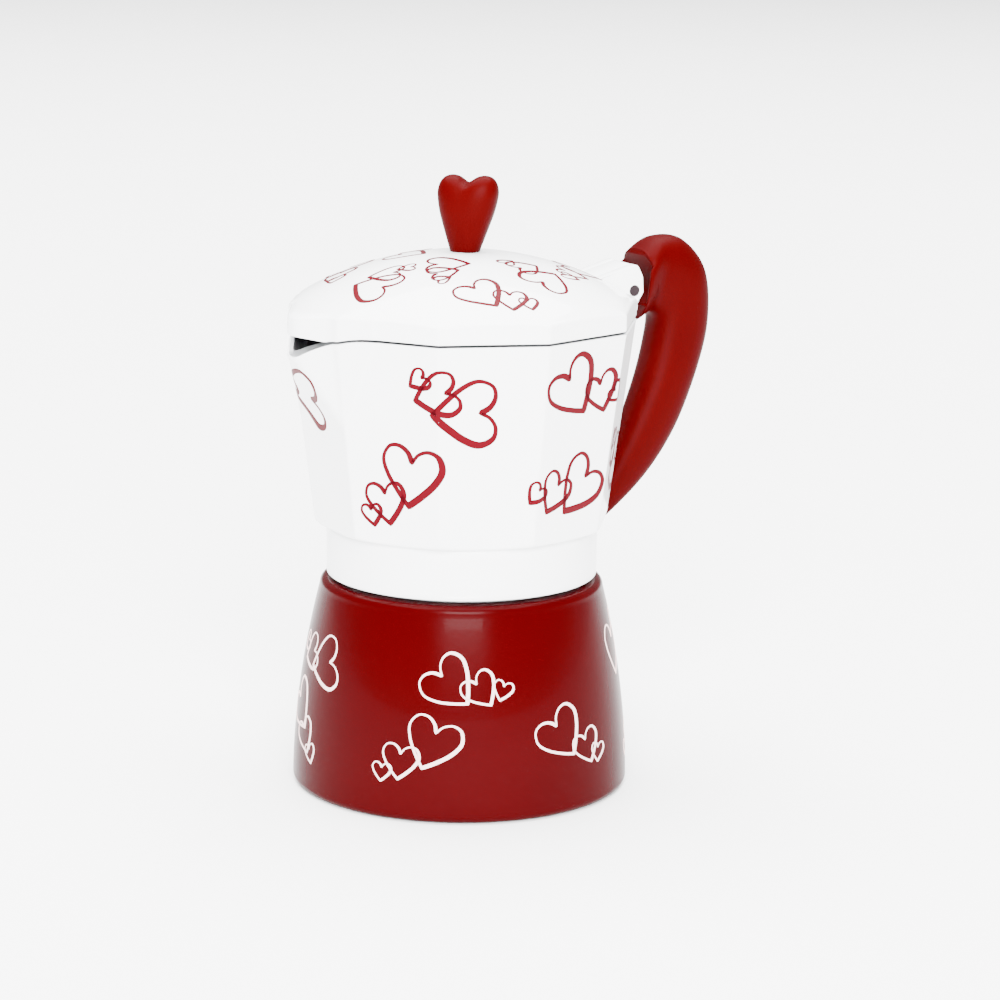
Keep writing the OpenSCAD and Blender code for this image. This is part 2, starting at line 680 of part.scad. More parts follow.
// Channel in the handle's front for the hinge tab: its upper corner, its back, its ears, and
// its ramp when the lid stands open
module tab_swing() {
    open_x = dome_z(tab_front) - hinge_z + swing_gap;
    translate([hinge_x, 0, hinge_z]) rotate([90, 0, 0])
        linear_extrude(height = hinge_w + 2 * tab_play, center = true) {
            for (cut = [[swing_r, 1.4], [swing_r - 0.8, 2.6], [swing_r - 2.2, 8]]) intersection() {
                circle(r = cut[0]);
                translate([-swing_r, -cut[1]]) square([2 * swing_r, 2 * swing_r]);
            }
            polygon([[0, 0], [swing_r, 0], [open_x, hinge_x - tab_front], [0, hinge_x - tab_front]]);
        }
}

// Space swept by the lid's top when it stands open
module lid_swing() {
    open_line = [for (k = [0:8]) let (r = tab_front - k * tab_front / 8)
        [hinge_x + dome_z(r) - hinge_z + swing_gap, hinge_z + hinge_x - r]];
    rotate([90, 0, 0]) linear_extrude(height = 6 * handle_w, center = true)
        polygon(concat([[hinge_x - 8, hinge_z], [hinge_x + 1, hinge_z]], open_line,
            [[hinge_x - 8, hinge_z + hinge_x]]));
}

screw_sink = 2.2;
insert_r = 2.3;
handle_insert_h = 1.6;
module handle_insert() {
    color([0.80, 0.62, 0.28]) translate([screw_x, 0, screw_z]) rotate([-90, 0, 0])
        translate([0, 0, -lug_w / 2 - handle_insert_h + eps]) difference() {
            cylinder(h = handle_insert_h - 2 * eps, r = insert_r - eps);
            translate([0, 0, -1]) cylinder(h = 10, r = handle_screw_d / 2);
        }
}

module handle_screw() {
    head_z = handle_w / 2 - screw_sink + face_gap / 2;
    color([0.62, 0.62, 0.64]) translate([screw_x, 0, screw_z]) rotate([-90, 0, 0]) difference() {
        union() {
            translate([0, 0, -lug_w / 2 - handle_insert_h + 0.2])
                cylinder(h = head_z + lug_w / 2 + handle_insert_h - 0.2, r = handle_screw_d / 2 - running_gap);
            translate([0, 0, head_z]) cylinder(h = 1.8, r = handle_screw_d * 0.9);
        }
        for (a = [0, 90]) rotate(a) translate([0, 0, head_z + 1.8]) cube([0.9, handle_screw_d, 2], center = true);
    }
}

boiler();
valve_body();
valve_washer();
valve_cap();
valve_pin();
valve_spring();
funnel();
gasket();
filter_plate();
collector();
column();
column_cap();
hinge_pin();
lid();
knob_washer();
knob_screw();
knob_insert();
knob();
handle();
handle_insert();
handle_screw();
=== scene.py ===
"""The looks of a stovetop moka pot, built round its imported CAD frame.

The painted castings, the lid, the knob, the handle and the valve's spring are surfaces worked
out as arrays: a radius as a function of angle and height, or sections carried along an outline.
The other small parts stay as the CAD made them and get their own finishes here. Metres, +Z up;
the spout points along -X and the handle along +X.
"""
import math

import bmesh
import bpy
import numpy as np
from mathutils import Matrix, Vector


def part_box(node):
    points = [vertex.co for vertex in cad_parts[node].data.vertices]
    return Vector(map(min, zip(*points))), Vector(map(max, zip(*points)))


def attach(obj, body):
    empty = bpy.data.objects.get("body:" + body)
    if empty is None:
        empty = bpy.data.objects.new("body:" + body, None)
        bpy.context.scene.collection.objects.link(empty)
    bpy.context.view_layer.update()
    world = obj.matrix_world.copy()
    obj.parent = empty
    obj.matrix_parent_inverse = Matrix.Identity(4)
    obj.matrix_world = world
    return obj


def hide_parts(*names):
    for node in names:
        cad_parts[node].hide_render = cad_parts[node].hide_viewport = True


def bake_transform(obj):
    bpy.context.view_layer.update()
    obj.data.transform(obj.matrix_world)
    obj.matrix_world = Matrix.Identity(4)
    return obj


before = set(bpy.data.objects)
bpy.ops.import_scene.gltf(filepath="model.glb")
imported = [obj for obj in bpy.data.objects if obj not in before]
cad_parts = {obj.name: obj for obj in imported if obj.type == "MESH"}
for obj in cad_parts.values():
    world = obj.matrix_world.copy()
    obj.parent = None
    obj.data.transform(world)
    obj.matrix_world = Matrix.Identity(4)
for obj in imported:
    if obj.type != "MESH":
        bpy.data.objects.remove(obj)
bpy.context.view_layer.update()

MM = 0.001

# ------------------------------------------------------------------ sizes, from the frame
boiler_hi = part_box("boiler")[1]
collector_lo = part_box("collector")[0]
lid_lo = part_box("lid")[0]
pin_lo, pin_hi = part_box("hinge_pin")
knob_lo, knob_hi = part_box("knob")
column_lo, column_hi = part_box("column")

base_r = boiler_hi.x
neck_top = boiler_hi.z
collar_z = collector_lo.z
hinge_x = (pin_lo.x + pin_hi.x) / 2
hinge_z = (pin_lo.z + pin_hi.z) / 2
arm_top = hinge_z - 3.4 * MM
arm_t = 2.6 * MM
screw_x = hinge_x + 13.3 * MM
screw_z = arm_top - 0.5 * MM
lip_x = -lid_lo.x

boiler_h = 52.6 * MM
boiler_draw = 7 * MM
boiler_wall = 2.6 * MM
boiler_floor = 4 * MM
shoulder_h = 2 * MM
wall_power = 1.87
collar_r = base_r - boiler_draw - 1.7 * MM
collar_wall = 2.4 * MM
collar_h = 13.3 * MM
body_h = 52.7 * MM
body_step = 3.2 * MM
body_flare = 7 * MM
body_wall = 2.2 * MM
seam_z = collar_z + collar_h
rim_z = seam_z + body_h
lid_z = rim_z + 0.6 * MM
band_h = 5.6 * MM
dome_h = 11.9 * MM
lid_wall = 1.6 * MM
facets = 10
half_facet = math.pi / facets
thread_depth = 1.15 * MM
thread_gap = 0.35 * MM
thread_pitch = 3 * MM
collar_in = collar_r - collar_wall
neck_r = collar_in - thread_depth - thread_gap
neck_in = neck_r - 2.1 * MM
shoulder_z = boiler_h + shoulder_h
ceiling_z = column_lo.z - 1.4 * MM
floor_z = ceiling_z + 3.6 * MM


# ------------------------------------------------------------------ array helpers
def smooth_min(a, b, k):
    """The smaller of two fields, with their meeting line rounded over a width k."""
    h = np.clip(0.5 + 0.5 * (b - a) / k, 0, 1)
    return b + (a - b) * h - k * h * (1 - h)


def smooth_max(a, b, k):
    """The larger of two fields, with their meeting line filled over a width k."""
    return -smooth_min(-a, -b, k)


def smooth_step(lo, hi, x):
    """Nought below lo, one above hi, and a smooth rise between."""
    t = np.clip((x - lo) / (hi - lo), 0, 1)
    return t * t * (3 - 2 * t)


def spline(points, t):
    """A smooth curve through points (Catmull-Rom) at the parameters t from 0 to 1."""
    p = np.asarray(points, float)
    n = len(p) - 1
    s = np.clip(np.asarray(t, float) * n, 0, n - 1e-9)
    i = s.astype(int)
    f = (s - i)[..., None]
    a, b = p[np.maximum(i - 1, 0)], p[i]
    c, d = p[i + 1], p[np.minimum(i + 2, n)]
    return 0.5 * (2 * b + (c - a) * f + (2 * a - 5 * b + 4 * c - d) * f ** 2
                  + (3 * b - a - 3 * c + d) * f ** 3)


def skin(name, grid, slots, row_slot=None, closed_rows=False, caps=True):
    """A mesh from rings of points, grid[ring, place, xyz], each ring closed on itself.

    With closed_rows the last ring joins the first; with caps each end is closed on its middle
    point. row_slot gives the material's number for each band between two rings.
    """
    rings, sides = grid.shape[:2]
    verts = grid.reshape(-1, 3)
    bands = rings if closed_rows else rings - 1
    i = np.arange(bands)[:, None]
    k = np.arange(sides)[None, :]
    j = (i + 1) % rings
    k2 = (k + 1) % sides
    quads = np.stack(np.broadcast_arrays(i * sides + k, i * sides + k2, j * sides + k2,
                                         j * sides + k), -1).reshape(-1, 4)
    material = np.zeros(bands, int) if row_slot is None else np.asarray(row_slot)
    quad_slot = np.repeat(material, sides)
    tris = np.zeros((0, 3), int)
    tri_slot = np.zeros(0, int)
    if caps and not closed_rows:
        first, last = len(verts), len(verts) + 1
        verts = np.vstack([verts, grid[0].mean(0), grid[-1].mean(0)])
        k = np.arange(sides)
        k2 = (k + 1) % sides
        end = (rings - 1) * sides
        tris = np.vstack([np.stack([k2, k, np.full(sides, first)], 1),
                          np.stack([end + k, end + k2, np.full(sides, last)], 1)])
        tri_slot = np.repeat([material[0], material[-1]], sides)
    return mesh_object(name, verts, quads, tris, slots, quad_slot, tri_slot)


def mesh_object(name, verts, quads, tris, slots, quad_slot=None, tri_slot=None):
    """A smooth-shaded object from arrays of points, four-sided and three-sided faces."""
    mesh = bpy.data.meshes.new(name)
    mesh.vertices.add(len(verts))
    mesh.vertices.foreach_set("co", np.asarray(verts, np.float32).ravel())
    loops = np.concatenate([quads.ravel(), tris.ravel()]).astype(np.int32)
    mesh.loops.add(len(loops))
    mesh.loops.foreach_set("vertex_index", loops)
    sizes = np.concatenate([np.full(len(quads), 4), np.full(len(tris), 3)])
    mesh.polygons.add(len(sizes))
    starts = np.concatenate([[0], np.cumsum(sizes)[:-1]])
    mesh.polygons.foreach_set("loop_start", starts.astype(np.int32))
    mesh.polygons.foreach_set("loop_total", sizes.astype(np.int32))
    for material in slots:
        mesh.materials.append(material)
    if quad_slot is not None:
        index = np.concatenate([quad_slot, tri_slot])
        mesh.polygons.foreach_set("material_index", index.astype(np.int32))
    mesh.polygons.foreach_set("use_smooth", np.ones(len(sizes), bool))
    mesh.update(calc_edges=True)
    mesh.validate()
    piece = bpy.data.objects.new(name, mesh)
    bpy.context.scene.collection.objects.link(piece)
    return piece


def arc(centre, radius, start, end, steps):
    """Points (r, z) on an arc, angles in degrees from the +r direction towards +z."""
    a = np.radians(np.linspace(start, end, steps))
    return np.stack([centre[0] + radius * np.cos(a), centre[1] + radius * np.sin(a)], 1)


def line(start, end, steps):
    """Points evenly spaced from start to end, without the last."""
    t = np.linspace(0, 1, steps, endpoint=False)[:, None]
    return np.asarray(start) * (1 - t) + np.asarray(end) * t


def turn(profile, angles):
    """The surface of revolution of a profile of (r, z) points: rings of xyz."""
    r, z = profile[:, 0][:, None], profile[:, 1][:, None]
    return np.stack([r * np.cos(angles), r * np.sin(angles), z + 0 * angles], -1)


# ------------------------------------------------------------------ shader expressions
class Socket:
    """A shader output that can be used in Python arithmetic; each operation adds a Math node."""

    def __init__(self, tree, out):
        self.tree, self.out = tree, out

    def _math(self, operation, *values):
        return self.tree.node("ShaderNodeMath", {"operation": operation}, dict(enumerate(values)))

    def __add__(self, other): return self._math("ADD", self, other)
    def __radd__(self, other): return self._math("ADD", other, self)
    def __rsub__(self, other): return self._math("SUBTRACT", other, self)
    def __mul__(self, other): return self._math("MULTIPLY", self, other)
    def __rmul__(self, other): return self._math("MULTIPLY", other, self)

    def clamp(self, lo, hi):
        return self.tree.node("ShaderNodeClamp", {}, {0: self, 1: lo, 2: hi})


class Finish:
    """A material with a Principled shader, built with expressions on sockets."""

    def __init__(self, name, **constants):
        self.material = bpy.data.materials.new(name)
        self.material.use_nodes = True
        self.nodes = self.material.node_tree.nodes
        self.links = self.material.node_tree.links
        self.shader = self.nodes["Principled BSDF"]
        for socket, value in constants.items():
            self.shader.inputs[socket.replace("_", " ")].default_value = value

    def node(self, kind, settings, values, output=0):
        """A node of that kind: settings first, then each socket's value or link."""
        made = self.nodes.new(kind)
        for key, value in settings.items():
            setattr(made, key, value)
        for key, value in values.items():
            if isinstance(value, Socket):
                self.links.new(value.out, made.inputs[key])
            else:
                made.inputs[key].default_value = value
        return Socket(self, made.outputs[output])

    def place(self):
        """Object coordinates, in metres."""
        return self.node("ShaderNodeTexCoord", {}, {}, "Object")

    def noise(self, size, detail=3, rough=0.5, vector=None):
        """Noise whose lumps are about size metres across."""
        return self.node("ShaderNodeTexNoise", {}, {
            "Vector": vector or self.place(), "Scale": 1 / size, "Detail": detail,
            "Roughness": rough})

    def mix(self, factor, a, b):
        """A colour between a and b."""
        return self.node("ShaderNodeMix", {"data_type": "RGBA"}, {0: factor, 6: a, 7: b}, 2)

    def feed(self, socket, value):
        self.links.new(value.out, self.shader.inputs[socket])

    def bump(self, height, distance, strength=1.0):
        self.feed("Normal", self.node("ShaderNodeBump", {}, {
            "Strength": strength, "Distance": distance, "Height": height}))


def rgb(r, g, b):
    """A colour from linear parts."""
    return (r, g, b, 1.0)


def enamel(name, colour, shade, rough, gloss):
    """Stoved enamel on a casting: a clear gloss with faint orange peel and a few specks of dust."""
    f = Finish(name, Coat_Weight=gloss, Coat_Roughness=0.05, Specular_IOR_Level=0.02)
    drift = f.noise(28 * MM, 2)
    f.feed("Base Color", f.mix(drift, colour, shade))
    f.feed("Roughness", rough + 0.08 * f.noise(9 * MM, 3))
    peel = f.noise(1.6 * MM, 2, 0.4)
    speck = f.node("ShaderNodeTexVoronoi", {}, {"Vector": f.place(), "Scale": 1 / (7 * MM)})
    dust_r = 0.045
    dust = (dust_r - speck).clamp(0, dust_r) * 22
    f.bump(peel * 0.5 + dust * 0.6, 0.03 * MM)
    return f.material


def boiler_enamel():
    """Deep red stoved enamel."""
    return enamel("boiler_enamel", rgb(0.034, 0.0001, 0.0006), rgb(0.027, 0.0001, 0.0006),
                  0.2, 0.012)


def white_enamel():
    """Bright white stoved enamel."""
    return enamel("white_enamel", rgb(0.90, 0.905, 0.91), rgb(0.86, 0.865, 0.875), 0.2, 0.5)


def moulded_red(name, colour, shade):
    """Semi-matte moulded plastic with a fine sprayed texture and slightly polished high spots."""
    f = Finish(name, Specular_IOR_Level=0.018)
    f.feed("Base Color", f.mix(f.noise(16 * MM, 2), colour, shade))
    f.feed("Roughness", 0.40 + 0.10 * f.noise(6 * MM, 3))
    grain = f.noise(0.45 * MM, 2, 0.6)
    f.bump(grain, 0.02 * MM, 0.6)
    return f.material


def printed_ink(name, colour, shade):
    """Transfer print under a clear coat: slightly uneven in its density."""
    f = Finish(name, Specular_IOR_Level=0.03)
    f.feed("Base Color", f.mix(f.noise(1.2 * MM, 3, 0.7), colour, shade))
    f.feed("Roughness", 0.28 + 0.1 * f.noise(2 * MM))
    return f.material


def cast_metal(name, colour, shade, rough):
    """Bare die-cast aluminium: a matte skin with fine pits."""
    f = Finish(name, Metallic=1.0)
    f.feed("Base Color", f.mix(f.noise(6 * MM, 4), colour, shade))
    f.feed("Roughness", rough + 0.15 * f.noise(2.5 * MM, 3))
    f.bump(f.noise(0.8 * MM, 4, 0.6), 0.03 * MM)
    return f.material


def turned_metal(name, colour, shade, rough, axis="z", pitch=0.25):
    """Metal with fine tool rings round an axis of the part."""
    f = Finish(name, Metallic=1.0)
    stretch = {"z": (0.02, 0.02, 1), "y": (0.02, 1, 0.02)}[axis]
    spread = f.node("ShaderNodeVectorMath", {"operation": "MULTIPLY"}, {0: f.place(), 1: stretch})
    rings = f.noise(pitch * MM, 2, 0.6, vector=spread)
    f.feed("Base Color", f.mix(f.noise(3 * MM, 3), colour, shade))
    f.feed("Roughness", rough + 0.12 * rings)
    f.bump(rings, 0.02 * MM, 0.7)
    return f.material


def white_rubber():
    """Soft white rubber with a fine bloom."""
    f = Finish("white_rubber", Specular_IOR_Level=0.3)
    f.feed("Base Color", f.mix(f.noise(4 * MM, 4), rgb(0.80, 0.78, 0.73), rgb(0.70, 0.68, 0.62)))
    f.feed("Roughness", 0.62 + 0.15 * f.noise(1.5 * MM))
    f.bump(f.noise(0.5 * MM, 3), 0.03 * MM)
    return f.material


# ------------------------------------------------------------------ boiler
def boiler_radius(z):
    """The wall's radius at height z: the base radius less a draw that grows as a power of z."""
    return base_r - boiler_draw * (np.maximum(z, 0) / boiler_h) ** wall_power


def boiler_profile():
    """Section of the boiler from the middle of its underside, out, up, over the neck and in."""
    foot, recess, middle = 2 * MM, 0.35 * MM, 0.5 * MM
    recess_r, foot_in = base_r - 8 * MM, base_r - 7 * MM
    z = np.linspace(foot, boiler_h - 0.2 * MM, 64)
    wall = np.stack([boiler_radius(z), z], 1)
    shoulder_r = base_r - boiler_draw
    a = np.radians(np.linspace(8, 90, 10))
    shoulder = np.stack([shoulder_r - shoulder_h * (1 - np.cos(a)),
                         boiler_h + shoulder_h * np.sin(a)], 1)
    zi = z[::-1][4:-3:2]
    inside = np.stack([boiler_radius(zi) - boiler_wall, zi], 1)
    outside = np.vstack([
        line((middle, recess), (recess_r, recess), 6),
        line((recess_r, recess), (foot_in, 0), 3),
        line((foot_in, 0), (base_r - foot, 0), 4),
        arc((base_r - foot, foot), foot, -90, -4, 10),
        wall, shoulder,
        line((shoulder_r - shoulder_h - 0.2 * MM, shoulder_z),
             (neck_r + 0.3 * MM, shoulder_z), 3)])
    fillet, lip_out, lip_in = 0.3 * MM, 0.5 * MM, 0.4 * MM
    floor_r = base_r - boiler_wall - 5 * MM
    neck = np.vstack([
        arc((neck_r + fillet, shoulder_z + fillet), fillet, 270, 180, 4),
        line((neck_r, shoulder_z + 0.6 * MM), (neck_r, neck_top - lip_out), 12),
        arc((neck_r - lip_out, neck_top - lip_out), lip_out, 0, 90, 5),
        arc((neck_in + lip_in, neck_top - lip_in), lip_in, 90, 180, 5),
        line((neck_in, neck_top - 0.6 * MM), (neck_in, shoulder_z - 0.3 * MM), 8),
        line((neck_in, shoulder_z - 0.3 * MM), inside[0], 5),
        inside,
        line(inside[-1], (floor_r, boiler_floor), 4),
        line((floor_r, boiler_floor), (middle, boiler_floor), 8)])
    return outside, neck


def make_boiler(enamel_red, bare_metal):
    """The boiler's wall, shoulder, neck and inside, with a flat boss cast on for the valve."""
    outside, neck = boiler_profile()
    profile = np.vstack([outside, neck])
    angles = np.linspace(0, 2 * np.pi, 320, endpoint=False)[None, :]
    grid = turn(profile, angles)
    washer_lo, washer_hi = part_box("valve_washer")
    boss_y = washer_lo.y
    boss_z = (washer_lo.z + washer_hi.z) / 2
    boss_r = (washer_hi.x - washer_lo.x) / 2 * 1.24
    boss_fade = 2.5 * MM
    away = np.hypot(grid[..., 0], grid[..., 2] - boss_z)
    on_wall = (grid[..., 1] > 0) & (np.arange(len(profile)) < len(outside))[:, None]
    pull = (1 - smooth_step(boss_r, boss_r + boss_fade, away)) * on_wall
    grid[..., 1] += (boss_y - grid[..., 1]) * pull * (grid[..., 1] < boss_y)
    band, underside_bands = np.arange(len(profile) - 1), 12
    metal = (band >= len(outside)) | (band < underside_bands)
    return skin("boiler_casting", grid, [enamel_red, bare_metal], metal.astype(int))


def make_thread(name, foot_r, crest_r, turns, start_z, material):
    """A helical ridge: a four-cornered section carried up a helix, drawn down at both ends."""
    per_turn, run_out = 72, 12
    steps = int(turns * per_turn)
    i = np.arange(steps + 1)
    a = 2 * np.pi * i / per_turn
    z = start_z + thread_pitch * i / per_turn
    rise = np.clip(np.minimum(i, steps - i) / run_out, 0.05, 1)
    r = foot_r + (crest_r - foot_r) * rise
    half = thread_pitch / 4
    foot = foot_r + 0 * r
    corners = [(foot, z - half), (r, z - half / 3), (r, z + half / 3), (foot, z + half)]
    grid = np.stack([np.stack([c * np.cos(a), c * np.sin(a), h], -1) for c, h in corners], 1)
    if crest_r > foot_r:
        grid = grid[:, ::-1]
    piece = skin(name, grid, [material])
    piece.data.polygons.foreach_set("use_smooth", np.zeros(len(piece.data.polygons), bool))
    return piece


# ------------------------------------------------------------------ collector
spout_foot_z = seam_z + body_h * 0.56
lip_z = rim_z - 6.2 * MM
lip_half = 2.2 * MM
cheek_out = 3.4 * MM


def edge_radius(z):
    """Distance from the axis to the body's upright edges at height z."""
    return collar_r + body_step + body_flare * (z - seam_z) / body_h


def flat_radius(z):
    """Distance from the axis to the body's flats at height z."""
    return edge_radius(z) * math.cos(half_facet)


def ten_sided(angle, flat, corner):
    """Radius of a ten-sided outline whose corners are rounded to the radius corner."""
    beta = np.abs((angle + half_facet) % (2 * half_facet) - half_facet)
    centre = (flat - corner) / math.cos(half_facet)
    touch = np.arctan2((flat - corner) * math.tan(half_facet), flat)
    delta = half_facet - beta
    chord = np.maximum(corner ** 2 - (centre * np.sin(delta)) ** 2, 0)
    curved = centre * np.cos(delta) + np.sqrt(chord)
    return np.where(beta < touch, flat / np.cos(beta), curved)


rim_flat = flat_radius(rim_z)
cheek_u = rim_flat * math.cos(2 * half_facet) + cheek_out * math.sin(2 * half_facet)
cheek_v = rim_flat * math.sin(2 * half_facet) - cheek_out * math.cos(2 * half_facet)


def spout_radius(angle, z, wall=0.0):
    """Radius of the spout's wedge: the nearer of its front, its cheeks, and its sides' planes."""
    foot = np.array([flat_radius(spout_foot_z), edge_radius(spout_foot_z) * math.sin(half_facet),
                     spout_foot_z])
    lip = np.array([lip_x - 0.15 * MM, lip_half, lip_z])
    cheek = np.array([cheek_u, cheek_v, rim_z])
    normal = np.cross(lip - foot, cheek - foot)
    normal = normal / np.linalg.norm(normal) * np.sign(normal[0])
    front_slope = (lip[0] - foot[0]) / (lip[2] - foot[2])
    c, s = np.cos(angle), np.abs(np.sin(angle))
    ahead = c > 0.2
    c = np.where(ahead, c, 1)
    front = (foot[0] - wall + (z - foot[2]) * front_slope) / c
    side = (normal @ foot - wall - normal[2] * z) / np.maximum(normal[0] * c + normal[1] * s, 1e-3)
    wedge = smooth_min(front, side, 1.2 * MM)
    rise = (z - foot[2]) / (rim_z - foot[2])
    half = foot[1] + (cheek_v - foot[1]) * rise - wall
    return np.where(ahead, np.minimum(wedge, half / np.maximum(s, 1e-3)), 0)


def rim_level(u):
    """Height of the rim at the distance u towards the spout: level, then falling to the lip."""
    t = np.clip((u - cheek_u) / (lip_x - cheek_u), 0, 1.2)
    return rim_z - (rim_z - lip_z) * t ** 2.2


def body_radius(angle, z):
    """The collector's outer radius: ten flats with the spout, drawn in to the round collar."""
    flats = ten_sided(angle, flat_radius(z), 1.1 * MM)
    body = smooth_max(flats, spout_radius(angle, z), 0.9 * MM)
    round_h, round_out = 4.2 * MM, 4.6 * MM
    level = np.clip((z - seam_z) / round_h, 0, 1)
    under = collar_r + 0.25 * MM + np.sqrt(np.maximum(1 - (1 - level) ** 2, 0)) * round_out
    under = under + np.maximum(z - seam_z - round_h, 0) * 2
    body = smooth_min(body, under, 1.0 * MM)
    return np.where(z < seam_z, collar_r, body)


def bowl_radius(angle, z):
    """The collector's inner radius: a round cone, opened out into the spout's channel."""
    cone = flat_radius(z) - body_wall + 0 * angle
    return smooth_max(cone, spout_radius(angle, z, body_wall * 0.9), 1.0 * MM)


def facet_angles(per_facet, spout_per_facet):
    """Angles round the body from the spout, closer together beside each upright edge."""
    out = []
    for k in range(facets):
        near_spout = k in (0, 1, facets - 1)
        n = spout_per_facet if near_spout else per_facet
        x = np.linspace(-1, 1, n, endpoint=False)
        q = x if near_spout else np.sin(x * np.pi / 2)
        out.append((2 * k + q) * half_facet)
    return np.concatenate(out)


def collector_rings(angle):
    """Rings (radius, height) from the middle of the bowl's floor, up, over the rim and down."""
    rows, slots = [], []

    def add(radius, height, slot):
        rows.append((radius + 0 * angle, height + 0 * angle))
        slots.append(slot)

    column_r = column_hi.x
    floor_r = flat_radius(floor_z) - body_wall - 1.5 * MM
    for r in np.linspace(column_r + 0.06 * MM, floor_r, 8):
        add(r, floor_z, 1)
    for a in np.radians(np.linspace(15, 90, 6)):
        add(floor_r + 1.5 * MM * np.sin(a), floor_z + 3 * MM * (1 - np.cos(a)), 1)
    top_in = rim_z * np.ones_like(angle)
    top_out = rim_z * np.ones_like(angle)
    for _ in range(12):
        top_in = rim_level(bowl_radius(angle, top_in) * np.cos(angle))
        top_out = rim_level(body_radius(angle, top_out) * np.cos(angle))
    bevel = 0.45 * MM
    for t in np.linspace(0, 1, 40)[1:]:
        z = (floor_z + 3 * MM) * (1 - t) + (top_in - bevel) * t
        add(bowl_radius(angle, z), z, 1)
    r_in, r_out = bowl_radius(angle, top_in), body_radius(angle, top_out)
    for a in np.radians([25, 50, 75, 90]):
        add(r_in + bevel * (1 - np.cos(a)), top_in - bevel * (1 - np.sin(a)), 1)
    for a in np.radians([90, 65, 40, 15, 0]):
        add(r_out - bevel * (1 - np.cos(a)), top_out - bevel * (1 - np.sin(a)), 0)
    for t in (1 - np.linspace(0, 1, 92)[1:] ** 0.9):
        z = seam_z + (top_out - bevel - seam_z) * t
        add(body_radius(angle, z), z, 0)
    groove = 0.25 * MM
    add(collar_r - groove, seam_z - 0.15 * MM, 0)
    add(collar_r, seam_z - 0.5 * MM, 0)
    for z in np.linspace(seam_z - 1.5 * MM, collar_z + 0.6 * MM, 12):
        add(collar_r, z, 0)
    for a in np.radians([0, 30, 60, 90]):
        add(collar_r - 0.6 * MM * (1 - np.cos(a)), collar_z + 0.6 * MM * (1 - np.sin(a)), 0)
    add(collar_in + 0.4 * MM, collar_z, 1)
    add(collar_in, collar_z + 0.4 * MM, 1)
    for z in np.linspace(collar_z + 1.5 * MM, ceiling_z, 8):
        add(collar_in, z, 1)
    for r in np.linspace(collar_in - 1 * MM, column_r + 2 * MM, 6):
        add(r, ceiling_z, 1)
    add(column_r + 0.06 * MM, ceiling_z + 1.2 * MM, 1)
    return rows, slots


def make_collector(white, bare_metal):
    """The collector: collar, ten-sided body, spout, rim, bowl and underside in one skin."""
    angle = facet_angles(22, 56)
    rows, slots = collector_rings(angle)
    radius = np.array([r for r, z in rows])
    height = np.array([z for r, z in rows])
    # the spout points along -X, and going round must keep the outside outwards
    grid = np.stack([-radius * np.cos(angle), radius * np.sin(angle), height], -1)
    return skin("collector_casting", grid, [white, bare_metal], slots, closed_rows=True)


# ------------------------------------------------------------------ lid
def dome_height(r):
    """Height of the lid's top at radius r: a rounded dome over the rim, sloping down past it."""
    apex = lid_z + band_h + dome_h
    dome = apex - dome_h * (np.minimum(r, rim_flat) / rim_flat) ** 2.1
    return dome - 0.3 * np.maximum(r - rim_flat, 0)


def lid_outline(angle, inset=0.0):
    """Distance from the axis to the lid's edge: the rim's ten sides and the beak over the spout."""
    flats = ten_sided(angle, rim_flat - inset, 1.3 * MM)
    c, s = np.cos(angle), np.abs(np.sin(angle))
    ahead = c > 0.2
    c = np.where(ahead, c, 1)
    across = np.array([cheek_v - lip_half, lip_x - cheek_u])
    across = across / np.linalg.norm(across)
    reach = across @ np.array([cheek_u, cheek_v])
    side = (reach - inset) / np.maximum(across[0] * c + across[1] * s, 1e-3)
    beak = smooth_min((lip_x - inset) / c, side, 1.0 * MM)
    beak = np.where(ahead, np.minimum(beak, (cheek_v - inset) / np.maximum(s, 1e-3)), 0)
    return smooth_max(flats, beak, 1.4 * MM)


def lid_level(u):
    """Height of the lid's lower edge at the distance u towards the spout."""
    t = np.maximum(0, (u - cheek_u) / (lip_x - cheek_u))
    dip = 2 * MM
    return lid_z - dip * np.minimum(1, (t * 1.6) ** 2) + dip * 0.3 * np.clip((t - 0.6) / 0.4, 0, 1)


